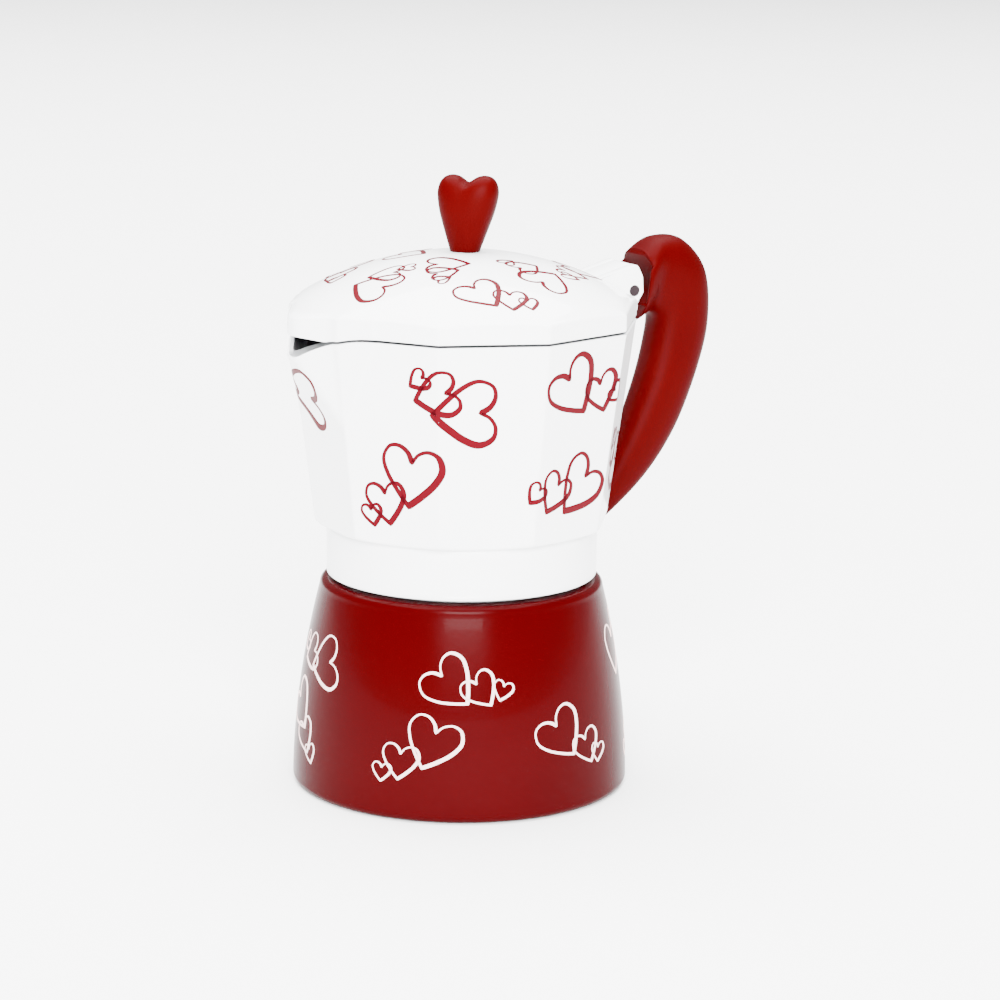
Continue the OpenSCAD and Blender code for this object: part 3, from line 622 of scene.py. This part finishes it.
def make_lid(white, bare_metal):
    """The lid: a thin dome with an upright band, its edge rounded, and a hollow underside."""
    angle = facet_angles(20, 44)
    edge = lid_outline(angle)
    inner = lid_outline(angle, lid_wall)
    low = lid_level(edge * np.cos(angle))
    hole = 1.6 * MM
    rows, slots = [], []

    def add(radius, height, slot):
        rows.append((radius + 0 * angle, height + 0 * angle))
        slots.append(slot)

    for t in np.linspace(0, 1, 26):
        r = hole + (inner - 1.6 * MM - hole) * t
        add(r, dome_height(np.maximum(r, 6 * MM)) - lid_wall, 1)
    add(inner - 0.4 * MM, dome_height(inner) - lid_wall - 0.9 * MM, 1)
    for t in np.linspace(0, 1, 5):
        add(inner, (dome_height(inner) - lid_wall - 2.2 * MM) * (1 - t) + (low + 0.3 * MM) * t, 1)
    add(inner + 0.3 * MM, low, 1)
    for a in np.radians([0, 30, 60, 90]):
        add(edge - 0.4 * MM * (1 - np.sin(a)), low + 0.4 * MM * (1 - np.cos(a)), 0)
    bend = 1.1 * MM
    top = dome_height(edge)
    for t in np.linspace(0, 1, 8)[1:]:
        add(edge, (low + 0.4 * MM) * (1 - t) + (top - bend) * t, 0)
    for a in np.radians([12, 24, 36, 48, 60, 72]):
        add(edge - bend * 1.3 * (1 - np.cos(a)),
            top - bend * (1 - np.sin(a) / np.sin(np.radians(80))), 0)
    start = edge - bend * 1.3
    for t in np.linspace(0, 1, 46):
        r = start + (hole - start) * t
        blend = bend * 0.1 * (1 - smooth_step(0, 0.06, t))
        add(r, dome_height(np.maximum(r, 6 * MM)) - blend, 0)
    radius = np.array([r for r, z in rows])
    height = np.array([z for r, z in rows])
    grid = np.stack([-radius * np.cos(angle), radius * np.sin(angle), height], -1)
    grid = grid[::-1]
    slots = slots[:-1][::-1] + [1]
    return skin("lid_shell", grid, [white, bare_metal], slots, closed_rows=True)


def rounded_outline(corners, radii, steps=7):
    """A closed outline through corners (x, z), each corner rounded to its own radius."""
    corners = np.asarray(corners, float)
    out = []
    count = len(corners)
    for k in range(count):
        before, here, after = corners[k - 1], corners[k], corners[(k + 1) % count]
        a = (before - here) / np.linalg.norm(before - here)
        b = (after - here) / np.linalg.norm(after - here)
        half = math.acos(np.clip(a @ b, -1, 1)) / 2
        reach = min(radii[k] / math.tan(half), 0.49 * np.linalg.norm(before - here),
                    0.49 * np.linalg.norm(after - here))
        t = np.linspace(0, 1, steps)[:, None]
        p0, p2 = here + a * reach, here + b * reach
        out.append((1 - t) ** 2 * p0 + 2 * t * (1 - t) * here + t ** 2 * p2)
    return np.vstack(out)


def slab(name, outline, y0, y1, edge, slots):
    """A plate between two planes across Y, its rim rounded: the outline drawn in at both faces."""
    ahead = np.roll(outline, -1, 0) - np.roll(outline, 1, 0)
    normal = np.stack([ahead[:, 1], -ahead[:, 0]], 1)
    normal = normal / np.maximum(np.linalg.norm(normal, axis=1), 1e-12)[:, None]
    x, z = outline.T
    area = 0.5 * np.sum(x * np.roll(z, -1) - z * np.roll(x, -1))
    normal = normal * np.sign(area)
    a = np.radians([90, 60, 30, 0])
    shrink = np.concatenate([edge * (1 - np.cos(a)), edge * (1 - np.cos(a[::-1]))])
    level = np.concatenate([y0 + edge * (1 - np.sin(a)), y1 - edge * (1 - np.sin(a[::-1]))])
    p = outline[None] - normal[None] * shrink[:, None, None]
    grid = np.stack([p[..., 0], level[:, None] + 0 * p[..., 0], p[..., 1]], -1)
    if area > 0:
        grid = grid[:, ::-1]
    piece = skin(name, grid, slots, caps=False)
    count = len(outline)
    rim = bpy.data.meshes.new(name + "_ends")
    ends = [list(range(count))[::-1], list(range(count, 2 * count))]
    rim.from_pydata(np.vstack([grid[0], grid[-1]]).tolist(), [], ends)
    return join_mesh(piece, rim)


def join_mesh(piece, extra):
    """Adds the faces of another mesh to a piece's own, joined along their common edge."""
    build = bmesh.new()
    build.from_mesh(piece.data)
    build.from_mesh(extra)
    bmesh.ops.remove_doubles(build, verts=build.verts, dist=1e-7)
    build.to_mesh(piece.data)
    build.free()
    bpy.data.meshes.remove(extra)
    return piece


def make_lid_tab(white):
    """The ramp at the back of the lid, and the two ears that hold the hinge pin."""
    half = pin_hi.y - 0.04 * MM
    x0 = hinge_x - 10.5 * MM
    top = hinge_z + 6.9 * MM
    front, back = x0, rim_flat - 1.2 * MM
    crown = [(front, dome_height(front) - 0.3 * MM), (hinge_x + 0.9 * MM, top + 0.05 * MM),
             (hinge_x + 2.6 * MM, hinge_z + 3.6 * MM)]
    inside = [(back, dome_height(rim_flat) - 1.0 * MM), (front, dome_height(front) - 1.3 * MM)]
    ear = crown + [(hinge_x + 2.9 * MM, hinge_z - 0.6 * MM),
                   (hinge_x + 1.3 * MM, hinge_z - 3.0 * MM),
                   (hinge_x - 1.0 * MM, hinge_z - 2.9 * MM), (back, lid_z + 0.02 * MM)] + inside
    ear = rounded_outline(ear, [0.05 * MM, 1.3 * MM, 1.5 * MM, 1.8 * MM, 1.4 * MM, 1.0 * MM,
                                0.1 * MM, 0.1 * MM, 0.05 * MM])
    bridge = [(x - 0.02 * MM, z - 0.04 * MM) for x, z in crown]
    bridge = bridge + [(hinge_x + 2.75 * MM, hinge_z + 2.6 * MM), (back, hinge_z + 2.6 * MM)] + inside
    bridge = rounded_outline(bridge, [0.05 * MM, 1.3 * MM, 0.3 * MM, 0.3 * MM, 0.1 * MM, 0.1 * MM,
                                      0.05 * MM])
    lug_half = 4.1 * MM
    return [slab("lid_ear_near", ear, -half, -lug_half, 0.3 * MM, [white]),
            slab("lid_ear_far", ear, lug_half, half, 0.3 * MM, [white]),
            slab("lid_tab", bridge, -lug_half - 1 * MM, lug_half + 1 * MM, 0.02 * MM, [white])]


def make_lug(white):
    """The collector's knuckle round the pin, its web down the wall, and the arm to the handle.

    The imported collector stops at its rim, so what is drawn here above the rim isn't in the CAD.
    """
    half = 3.7 * MM
    arm_low = arm_top - arm_t
    wall_z = rim_z - 12 * MM
    web = rounded_outline(
        [(flat_radius(wall_z) - 1 * MM, wall_z), (hinge_x + 2 * MM, arm_low),
         (hinge_x + 2 * MM, hinge_z + 0.4 * MM), (hinge_x + 1.2 * MM, hinge_z + 2.4 * MM),
         (hinge_x - 1.2 * MM, hinge_z + 2.4 * MM), (hinge_x - 2.4 * MM, hinge_z),
         (rim_flat + 0.3 * MM, rim_z + 1.8 * MM), (rim_flat + 0.2 * MM, rim_z - 0.2 * MM),
         (rim_flat - 1.5 * MM, rim_z - 0.6 * MM)],
        [0.1 * MM, 1.5 * MM, 1 * MM, 1.4 * MM, 1.4 * MM, 1 * MM, 0.5 * MM, 0.3 * MM, 0.1 * MM])
    arm = rounded_outline(
        [(hinge_x, arm_low), (screw_x, arm_low), (screw_x + 3.3 * MM, screw_z - 1.5 * MM),
         (screw_x + 3.3 * MM, screw_z + 1.5 * MM), (screw_x, arm_top + 2.0 * MM),
         (screw_x - 4 * MM, arm_top), (hinge_x, arm_top)],
        [0.1 * MM, 0.5 * MM, 1.5 * MM, 1.5 * MM, 1 * MM, 1 * MM, 0.1 * MM])
    return [slab("hinge_web", web, -half, half, 0.3 * MM, [white]),
            slab("hinge_arm", arm, -half, half, 0.3 * MM, [white])]


# ------------------------------------------------------------------ knob and handle
def make_knob(red):
    """The heart-shaped knob: rounded faces swelling from its outline, cut off flat at the foot.

    A point is the middle plus s times the outline's reach in its direction; the half thickness
    falls from the middle to the outline as a power of s, and the dip between the lobes fades in.
    """
    width, thick = 16 * MM, 10.5 * MM
    height = knob_hi.z - knob_lo.z
    half = [(0, 0.905), (0.07, 0.935), (0.16, 0.982), (0.27, 1.0), (0.385, 0.975), (0.465, 0.90),
            (0.5, 0.79), (0.487, 0.66), (0.445, 0.50), (0.385, 0.34), (0.305, 0.14), (0.238, -0.02),
            (0.17, -0.2), (0, -0.28)]
    full = [(0, 0.985), (0.09, 0.99), (0.18, 0.995)] + half[3:]
    t = np.linspace(0, 1, 80)
    middle = np.array([0, 0.55])

    def reach(points):
        side = spline(points, t) - middle
        return np.vstack([side, (side * [-1, 1])[-2:0:-1]])

    dipped, plain = reach(half), reach(full)
    grid = []
    for b in np.radians(np.linspace(-89, 89, 41)):
        s = np.cos(b)
        y = thick / 2 * np.sign(b) * (1 - s ** 2.6) ** (1 / 2.3)
        shape = middle + s * (plain + (dipped - plain) * smooth_step(0.5, 1, s))
        lean = 0.045 * shape[:, 1] + 0.06 * np.maximum(shape[:, 0], 0) * shape[:, 1]
        x, z = (shape[:, 0] + lean) * width * 0.97, np.clip(shape[:, 1], 0, 1) * height
        foot = 0.74 + 0.26 * smooth_step(0, 0.55, shape[:, 1])
        grid.append(np.stack([x, y * foot, z], 1))
    grid = np.array(grid)
    turned = math.radians(-45)
    x = grid[..., 0] * math.cos(turned) - grid[..., 1] * math.sin(turned)
    y = grid[..., 0] * math.sin(turned) + grid[..., 1] * math.cos(turned)
    return skin("knob_heart", np.stack([x, y, grid[..., 2] + knob_lo.z], -1), [red])


def handle_outlines():
    """The handle's outer and inner outlines as (distance out from the flat, share of height)."""
    outer = [(6.2, 1.30), (10.8, 1.362), (18.6, 1.345), (26.6, 1.19), (29.58, 0.93), (27.9, 0.665),
             (23.2, 0.365), (15.1, 0.115), (1.6, -0.125)]
    inner = [(6.2, 0.945), (8.6, 0.965), (11.0, 0.985), (13.0, 0.945), (12.9, 0.83), (11.6, 0.64),
             (8.2, 0.395), (4.2, 0.145), (0.9, -0.11)]

    def place(points):
        out, share = np.array(points).T
        z = seam_z + share * body_h
        return np.stack([flat_radius(z) + out * MM, z], 1)
    return place(outer), place(inner)


HANDLE_HALF = 7 * MM
HANDLE_FLARE = 1.9 * MM

# what swings into the handle's channel, with its play, as distances and rises from the pin
TAB_CORNER = 7.3 * MM
EAR_REACH = 5.1 * MM
RAMP_OUT, RAMP_FOOT, RAMP_LEAN = 7.25 * MM, -0.9 * MM, 0.259
TAB_END, TAB_SLANT = -1.55 * MM, 1.97


def handle_half(t):
    """Half thickness along the handle: flared at the hinge, full over the grip, fine at the tail."""
    grip = np.where(t < 0.6, 1, (1 - (np.maximum(t - 0.6, 0) / 0.4) ** 1.8 * 0.93) ** 0.75)
    return HANDLE_HALF * grip + HANDLE_FLARE * (1 - smooth_step(0.02, 0.2, t))


def make_handle(red):
    """The handle: soft square sections between two outlines, and a channel for the tab in front."""
    outer, inner = handle_outlines()
    sides = 112
    s = np.linspace(0, 2 * np.pi, sides, endpoint=False)
    p = np.abs(np.cos(s)) ** 0.8 * np.sign(np.cos(s))
    q = np.abs(np.sin(s)) ** 0.8 * np.sign(np.sin(s))

    def section(t, shrink=1.0, push=0.0):
        a, b = spline(outer, t), spline(inner, t)
        c, d, w = (a + b) / 2, (a - b) / 2, handle_half(np.float64(t))
        return np.stack([c[0] + push + d[0] * p * shrink, w * q * shrink,
                         c[1] + d[1] * p * shrink], 1)

    def front_x(z):
        """The handle's front face at height z."""
        a, b = spline(outer, 0.0), spline(inner, 0.0)
        return b[0] + (a[0] - b[0]) * (z - b[1]) / (a[1] - b[1])

    def open_ramp(rise):
        """The tab's ramp when the lid stands open, with its play, as a distance from the pin."""
        return RAMP_OUT - (rise - RAMP_FOOT) * RAMP_LEAN

    def channel_back(rise):
        """The channel's back as a distance from the pin: the tab's corner above, its ears below."""
        corner = np.sqrt(np.maximum(TAB_CORNER ** 2 - rise ** 2, 0))
        ears = np.sqrt(np.maximum(EAR_REACH ** 2 - rise ** 2, 0))
        above = np.maximum(corner, open_ramp(rise))
        below = np.maximum(ears, np.minimum(corner, TAB_CORNER + TAB_SLANT * (rise - TAB_END)))
        return np.where(rise > RAMP_FOOT, above, below)

    front = section(0.0)
    # the channel's mouth: as wide as the tab and its play, inside a wall of the handle
    mouth_half, mouth_wall = 7.8 * MM, 0.8 * MM
    rise = np.clip(front[:, 2] - hinge_z, -4.5 * MM, 8.7 * MM)
    mouth_y = np.clip(front[:, 1], -mouth_half, mouth_half)
    within = np.maximum(np.abs(front[:, 1]) - mouth_wall, 0)
    mouth_y = np.sign(mouth_y) * np.minimum(np.abs(mouth_y), within)
    grid = []
    for k in (0.03, 0.2, 0.4, 0.6, 0.8, 0.9, 0.97, 1.0):
        x = np.maximum(hinge_x + channel_back(rise * k), front_x(hinge_z + rise))
        grid.append(np.stack([x, mouth_y * min(1, k + 0.02), hinge_z + rise * k], 1))
    cut = len(grid)
    grid.append(np.stack([front_x(hinge_z + rise) + 0.15 * MM, mouth_y, hinge_z + rise], 1))
    grid = grid + [section(0.0, 0.975, 0.02 * MM), section(0.0, 0.992, 0.1 * MM)]
    for t in np.concatenate([np.linspace(0.004, 0.2, 46), np.linspace(0.2, 1, 150)[1:]]):
        grid.append(section(t))
    grid = np.array(grid)
    # above the pin the front face stands back behind the open ramp
    skin_x, above_pin = grid[cut:, :, 0], grid[cut:, :, 2] - hinge_z
    face = front_x(grid[cut:, :, 2])
    set_back = np.maximum(hinge_x + open_ramp(above_pin) - face, 0)
    set_back = set_back * smooth_step(4.4 * MM, 6 * MM, above_pin)
    set_back = set_back * (1 - smooth_step(7.7 * MM, 8.3 * MM, np.abs(grid[cut:, :, 1])))
    skin_x += set_back * (1 - smooth_step(0, 4 * MM, skin_x - face))
    # the flat recess that the screw's head sits in
    recess_r, recess_y = 2.75 * MM, 4.9 * MM
    from_screw = np.hypot(grid[..., 0] - screw_x, grid[..., 2] - screw_z)
    recess = 1 - smooth_step(recess_r, recess_r + 0.3 * MM, from_screw)
    y = grid[..., 1]
    grid[..., 1] = np.where(y > recess_y, y - (y - recess_y) * recess, y)
    return skin("handle_grip", grid, [red])


# ------------------------------------------------------------------ printed hearts
def heart_stroke(size, tilt, count=112):
    """Centre line of one outline heart and its normals, in the plane of the print.

    A soft heart drawn with one pen stroke, its tip pointing towards the angle tilt in degrees.
    """
    half = np.array([(0, -0.5), (0.2, -0.31), (0.4, -0.07), (0.5, 0.17), (0.42, 0.38),
                     (0.25, 0.43), (0.09, 0.35), (0, 0.2)])
    t = np.linspace(0, 1, count // 2 + 1)
    side = spline(half, t)
    outline = np.vstack([side, (side * [-1, 1])[-2:0:-1]]) * size
    ahead = np.roll(outline, -1, 0) - np.roll(outline, 1, 0)
    ahead = ahead / np.linalg.norm(ahead, axis=1)[:, None]
    normal = np.stack([ahead[:, 1], -ahead[:, 0]], 1)
    a = math.radians(tilt + 90)
    rot = np.array([[math.cos(a), math.sin(a)], [-math.sin(a), math.cos(a)]])
    return outline @ rot, normal @ rot


PEN_SLANT = 50
INK_EDGE = -0.03 * MM


def pen_width(normal, width, slant):
    """Half width of the pen's stroke: broad where the stroke faces the slant, finer elsewhere."""
    facing = normal @ np.array([math.cos(slant), math.sin(slant)])
    return width * (0.43 + 0.15 * facing)


def print_hearts(name, chains, surface, girth, width, ink, proud=0.07 * MM):
    """Ribbons laid on a surface: surface(u, v) gives the point and its outward normal.

    Each heart is (degrees round from the spout, level in mm, size in mm, its tip's direction);
    girth is the length along u of one degree.
    """
    grids, faces, start = [], [], 0
    for chain in chains:
        for place, level, size, tilt in chain:
            centre = np.array([place * girth, level * MM])
            stroke, outward = heart_stroke(size * MM, tilt)
            scale = 0.5 + 0.5 * size / chain[0][2]
            half = pen_width(outward, width * scale, math.radians(tilt + PEN_SLANT))
            across = np.array([-1, -0.9, -0.45, 0, 0.45, 0.9, 1])
            lift = np.array([INK_EDGE, proud, proud, proud, proud, proud, INK_EDGE])
            sideways = (half[:, None] * across)[..., None]
            flat = centre + stroke[:, None, :] + outward[:, None, :] * sideways
            point, out = facing_out(surface, flat[..., 0], flat[..., 1])
            grids.append((point + out * lift[None, :, None]).reshape(-1, 3))
            n, m = flat.shape[:2]
            i = np.arange(n)[:, None]
            k = np.arange(m - 1)[None, :]
            j = (i + 1) % n
            faces.append(np.stack(np.broadcast_arrays(i * m + k, j * m + k, j * m + k + 1,
                                                      i * m + k + 1), -1).reshape(-1, 4) + start)
            start += n * m
    verts = np.vstack(grids)
    quads = np.vstack(faces)
    a, b, c = (verts[quads[:, k]] for k in (0, 1, 2))
    face_out = np.cross(b - a, c - b)
    middle = (a + c) / 2 - [0, 0, neck_top]
    if (face_out * middle).sum(1).mean() < 0:
        quads = quads[:, ::-1]
    return mesh_object(name, verts, quads, np.zeros((0, 3), int), [ink])


def facing_out(surface, u, v, step=0.15 * MM):
    """The point of a surface at (u, v) and its outward normal, from differences across a step."""
    along = surface(u + step, v) - surface(u - step, v)
    up = surface(u, v + step) - surface(u, v - step)
    out = np.cross(along, up)
    return surface(u, v), out / np.linalg.norm(out, axis=-1)[..., None]


BOILER_GIRTH = 0.72 * MM
BODY_GIRTH = 0.715 * MM


def boiler_surface(u, v):
    """The boiler's wall unrolled: u along the girth from the spout's side, v the height."""
    a = np.radians(u / BOILER_GIRTH)
    r = boiler_radius(v)
    return np.stack([-r * np.cos(a), -r * np.sin(a), v], -1)


def body_surface(u, v):
    """The collector's wall unrolled: u along the girth from the spout, v the height."""
    a = np.radians(u / BODY_GIRTH)
    r = body_radius(a, v)
    return np.stack([-r * np.cos(a), -r * np.sin(a), v], -1)


def lid_surface(u, v):
    """The lid's top seen from above, u and v as plain distances across and towards the handle."""
    return np.stack([v, -u, dome_height(np.hypot(u, v))], -1)


# (degrees round from the spout, height, size, direction of the tip), big heart first
BODY_HEARTS = [
    [(63.5, 104.9, 16.4, 182), (53.4, 109.6, 11.2, 196), (47.2, 113.2, 5.4, 215)],
    [(43.2, 88.4, 16.4, 262), (32.4, 80.8, 11.3, 277), (26.0, 77.2, 5.8, 278)],
    [(103.2, 109.9, 15.6, 305), (117.6, 107.9, 10.6, 288), (125.6, 106.9, 5.6, 320)],
    [(112.2, 83.6, 15.6, 229), (98.9, 83.2, 10.8, 240), (89.8, 83.7, 5.6, 232)],
    [(-4.0, 105.0, 15.6, 165), (-14.5, 110.0, 10.6, 180), (-21.5, 113.0, 5.4, 200)],
    [(-36, 86, 16.2, 250), (-48, 79.6, 11.0, 262), (-56, 76.6, 5.6, 268)],
    [(-60, 108.5, 16.0, 300), (-46, 106.0, 10.8, 290), (-37.5, 105.0, 5.4, 320)],
    [(-96, 90, 16.4, 196), (-107, 95, 11.2, 205), (-114.5, 98.5, 5.6, 220)],
    [(-118, 77.5, 13.6, 282), (-105.5, 75.8, 9.4, 300), (-98, 75.2, 5.0, 300)],
    [(-136, 108, 15.6, 235), (-149, 104, 10.6, 240), (-157, 102, 5.4, 236)],
    [(152, 84.5, 15.2, 196), (142, 89.5, 10.2, 205), (136, 93, 5.2, 214)]]
BOILER_HEARTS = [
    [(58.2, 35.8, 13.6, 314), (69.4, 34.3, 9.2, 304), (77.4, 34.0, 5.2, 250)],
    [(52.8, 20.8, 13.8, 250), (41.8, 15.6, 9.4, 264), (35.2, 12.4, 5.0, 266)],
    [(99.5, 21.2, 13.6, 302), (111.2, 16.6, 9.2, 288), (117.2, 14.2, 5.2, 262)],
    [(3.0, 35.6, 13.6, 196), (-9.5, 36.4, 9.4, 205), (-17.5, 38.0, 5.2, 215)],
    [(-13.5, 21.6, 13.6, 318), (-6.0, 15.2, 9.4, 300), (-0.6, 11.4, 5.2, 290)],
    [(141.5, 37.4, 13.6, 262), (152.5, 43.0, 9.0, 278), (158.5, 46.5, 4.8, 280)],
    [(-52, 26, 13.8, 300), (-40, 22.5, 9.4, 288), (-31.5, 21, 5.2, 270)],
    [(-60, 42.5, 12.6, 196), (-71, 44, 8.6, 205), (-78.5, 45.5, 4.8, 215)],
    [(-122, 33, 13.8, 250), (-133, 28, 9.4, 264), (-140, 25, 5.0, 266)],
    [(-128, 12.5, 13.4, 314), (-116.5, 11, 9.0, 304), (-108.5, 10.6, 5.2, 250)],
    [(163, 17.5, 13.6, 250), (152.5, 12.5, 9.2, 264), (145.5, 9.8, 4.8, 266)],
    [(186, 36, 13.6, 196), (175, 38, 9.2, 205), (167.5, 40, 5.0, 215)]]
LID_HEARTS = [
    [(16.8, 31.6, 13.2, 200), (11.5, 25.4, 9.2, 232), (17.5, 20.6, 4.8, 240)],
    [(44.8, 15.6, 11.4, 60), (47.6, 21.6, 8.0, 80), (49.8, 25.4, 4.2, 90)],
    [(69.5, 31.8, 12.2, 10), (81.4, 34.8, 8.4, 340), (88.0, 36.8, 4.8, 350)],
    [(110.5, 27.4, 12.4, 130), (112.6, 19.8, 8.6, 110), (106.5, 15.4, 4.6, 120)],
    [(160, 29.4, 12.4, 80), (141, 27.6, 8.4, 60), (131.5, 28.4, 4.8, 60)],
    [(-39.5, 31.6, 12.8, 290), (-25.5, 32.6, 8.6, 300), (-17.4, 33.6, 4.8, 310)],
    [(-33.5, 14.8, 11.2, 20), (-68, 16.0, 7.8, 350), (-85, 20.0, 4.4, 350)],
    [(-95, 31.6, 12.6, 60), (-78.5, 31.6, 8.6, 80), (-69.5, 32.8, 4.8, 90)],
    [(-138, 28.4, 12.6, 200), (-121, 25.2, 8.6, 220), (-111, 22.4, 4.6, 240)]]


def place_on_lid(chains):
    """The lid's hearts, given round and out from its middle, as plain distances across it."""
    out = []
    for chain in chains:
        out.append([(math.sin(math.radians(a)) * r * MM, -math.cos(math.radians(a)) * r, size, tilt)
                    for a, r, size, tilt in chain])
    return out


# ------------------------------------------------------------------ valve spring
def make_spring(steel):
    """The valve's coil spring: a round wire carried along a helix round the valve's axis."""
    lo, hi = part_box("valve_spring")
    wire = 0.28 * MM
    coil = (hi.x - lo.x) / 2 - wire
    turns, per_turn = 7, 28
    a = np.linspace(0, 2 * np.pi * turns, turns * per_turn + 1)[:, None]
    b = np.linspace(0, 2 * np.pi, 10, endpoint=False)[None, :]
    r = coil + wire * np.cos(b)
    y = lo.y + wire + (hi.y - lo.y - 2 * wire) * a / a.max() + wire * np.sin(b)
    grid = np.stack([(lo.x + hi.x) / 2 + r * np.cos(a), y, (lo.z + hi.z) / 2 + r * np.sin(a)], -1)
    return skin("valve_coil", grid, [steel])


# ------------------------------------------------------------------ materials
boiler_red = boiler_enamel()
white = white_enamel()
handle_red = moulded_red("handle_red", rgb(0.038, 0.0001, 0.0004), rgb(0.031, 0.0001, 0.0004))
knob_red = moulded_red("knob_red", rgb(0.042, 0.0001, 0.0004), rgb(0.035, 0.0001, 0.0004))
heart_red = printed_ink("heart_red", rgb(0.072, 0.0006, 0.0040), rgb(0.056, 0.0005, 0.0034))
heart_pink = printed_ink("heart_pink", rgb(0.84, 0.62, 0.60), rgb(0.78, 0.52, 0.50))
cast_grey = cast_metal("cast_aluminium", rgb(0.66, 0.67, 0.68), rgb(0.56, 0.57, 0.58), 0.42)
bowl_grey = cast_metal("bowl_aluminium", rgb(0.60, 0.61, 0.62), rgb(0.50, 0.51, 0.52), 0.38)
brass = turned_metal("brass", rgb(0.80, 0.56, 0.22), rgb(0.70, 0.48, 0.18), 0.24, "y")
copper = turned_metal("copper_washer", rgb(0.72, 0.33, 0.18), rgb(0.60, 0.26, 0.14), 0.3, "y")
spring_wire = turned_metal("spring_steel", rgb(0.55, 0.56, 0.58), rgb(0.45, 0.46, 0.48), 0.25, "y")
pin_metal = turned_metal("pin_steel", rgb(0.035, 0.025, 0.028), rgb(0.025, 0.018, 0.02), 0.45, "y", 0.4)
screw_metal = turned_metal("screw_steel", rgb(0.50, 0.51, 0.53), rgb(0.42, 0.43, 0.45), 0.3, "y")
sheet_metal = turned_metal("basket_metal", rgb(0.68, 0.69, 0.70), rgb(0.60, 0.61, 0.62), 0.27, "z", 0.5)
rubber = white_rubber()


# ------------------------------------------------------------------ assembly
def settle(piece, body, slot, *nodes):
    """Put a piece on its body, in place of the CAD nodes it shows; slot is not used."""
    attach(piece, body)
    if nodes:
        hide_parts(*nodes)


settle(make_boiler(boiler_red, cast_grey), "boiler", "boiler_red", "boiler")
thread_root = 0.3 * MM
thread_start = shoulder_z + 2.4 * MM
male = make_thread("boiler_thread", neck_r - thread_root, neck_r + thread_depth, 2.25,
                   thread_start, cast_grey)
settle(male, "boiler", "boiler_red", "boiler")
settle(make_collector(white, bowl_grey), "collector", "collector_white", "collector")
female = make_thread("collector_thread", collar_in + thread_root, collar_in - thread_depth, 2.0,
                     thread_start + thread_pitch / 2, bowl_grey)
settle(female, "collector", "collector_white", "collector")
for piece in make_lug(white):
    settle(piece, "collector", "collector_white", "collector")
settle(make_lid(white, bowl_grey), "lid", "collector_white", "lid")
for piece in make_lid_tab(white):
    settle(piece, "lid", "collector_white", "lid")
settle(make_knob(knob_red), "lid", "knob_red", "knob")
settle(make_handle(handle_red), "collector", "handle_red", "handle")
settle(print_hearts("hearts_boiler", BOILER_HEARTS, boiler_surface, BOILER_GIRTH, 0.88 * MM, heart_pink),
       "boiler", "boiler_red")
settle(print_hearts("hearts_collector", BODY_HEARTS, body_surface, BODY_GIRTH, 1.75 * MM, heart_red),
       "collector", "collector_white")
settle(print_hearts("hearts_lid", place_on_lid(LID_HEARTS), lid_surface, 1.0, 1.15 * MM, heart_red),
       "lid", "collector_white")

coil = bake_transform(make_spring(spring_wire))
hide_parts("valve_spring")

finishes = {"valve_body": brass, "valve_cap": brass, "valve_pin": brass, "valve_washer": copper,
            "funnel": sheet_metal, "filter_plate": sheet_metal,
            "gasket": rubber, "column": bowl_grey, "column_cap": bowl_grey, "hinge_pin": pin_metal,
            "knob_washer": screw_metal, "knob_screw": screw_metal, "knob_insert": brass,
            "handle_insert": brass, "handle_screw": screw_metal}
for node, finish in finishes.items():
    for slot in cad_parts[node].material_slots:
        slot.material = finish


# ------------------------------------------------------------------ floor, light and camera
def make_floor():
    """A pale floor with a faint mottle, large enough to reach past the picture."""
    f = Finish("floor_white", Roughness=0.9)
    f.feed("Base Color", f.mix(f.noise(120 * MM, 2), rgb(0.92, 0.92, 0.92), rgb(0.90, 0.90, 0.90)))
    size, level = 6.0, -0.2 * MM
    corners = [(-size, -size, level), (size, -size, level), (size, size, level), (-size, size, level)]
    floor = mesh_object("floor", corners, np.array([[0, 1, 2, 3]]), np.zeros((0, 3), int),
                        [f.material])


def softbox(name, place, aim, size, power):
    """A square area light at place, turned to face aim."""
    light = bpy.data.lights.new(name, "AREA")
    light.shape = "SQUARE"
    light.size = size
    light.energy = power
    lamp = bpy.data.objects.new(name, light)
    bpy.context.scene.collection.objects.link(lamp)
    lamp.location = place
    lamp.rotation_euler = (Vector(aim) - Vector(place)).to_track_quat("-Z", "Y").to_euler()


def make_light():
    """Soft daylight all round, a large box to the left of the camera and one overhead."""
    world = bpy.data.worlds.new("studio")
    world.use_nodes = True
    world.node_tree.nodes["Background"].inputs["Color"].default_value = (1, 1, 1, 1)
    world.node_tree.nodes["Background"].inputs["Strength"].default_value = 0.98
    bpy.context.scene.world = world
    softbox("box_front", (-1.25, -2.6, 1.5), (0, 0, 0.07), 1.7, 560.0)
    softbox("box_top", (0.1, 0.6, 3.2), (0, 0.3, 0), 4.0, 880.0)


def make_camera():
    """A long lens a little above the pot, in front and to the spout's side, rolled a touch."""
    lens = bpy.data.cameras.new("camera")
    lens.lens = 116.9
    lens.sensor_width = 36
    lens.clip_start = 0.05
    camera = bpy.data.objects.new("camera", lens)
    place = Vector((-0.3869, -0.7316, 0.2516))
    aim = Vector((0.00871, -0.0046, 0.0745))
    roll = Matrix.Rotation(math.radians(0.773), 3, "Z")
    spin = (aim - place).to_track_quat("-Z", "Y").to_matrix() @ roll
    camera.location = place
    camera.rotation_euler = spin.to_euler()
    bpy.context.scene.collection.objects.link(camera)
    bpy.context.scene.camera = camera


make_floor()
make_light()
make_camera()
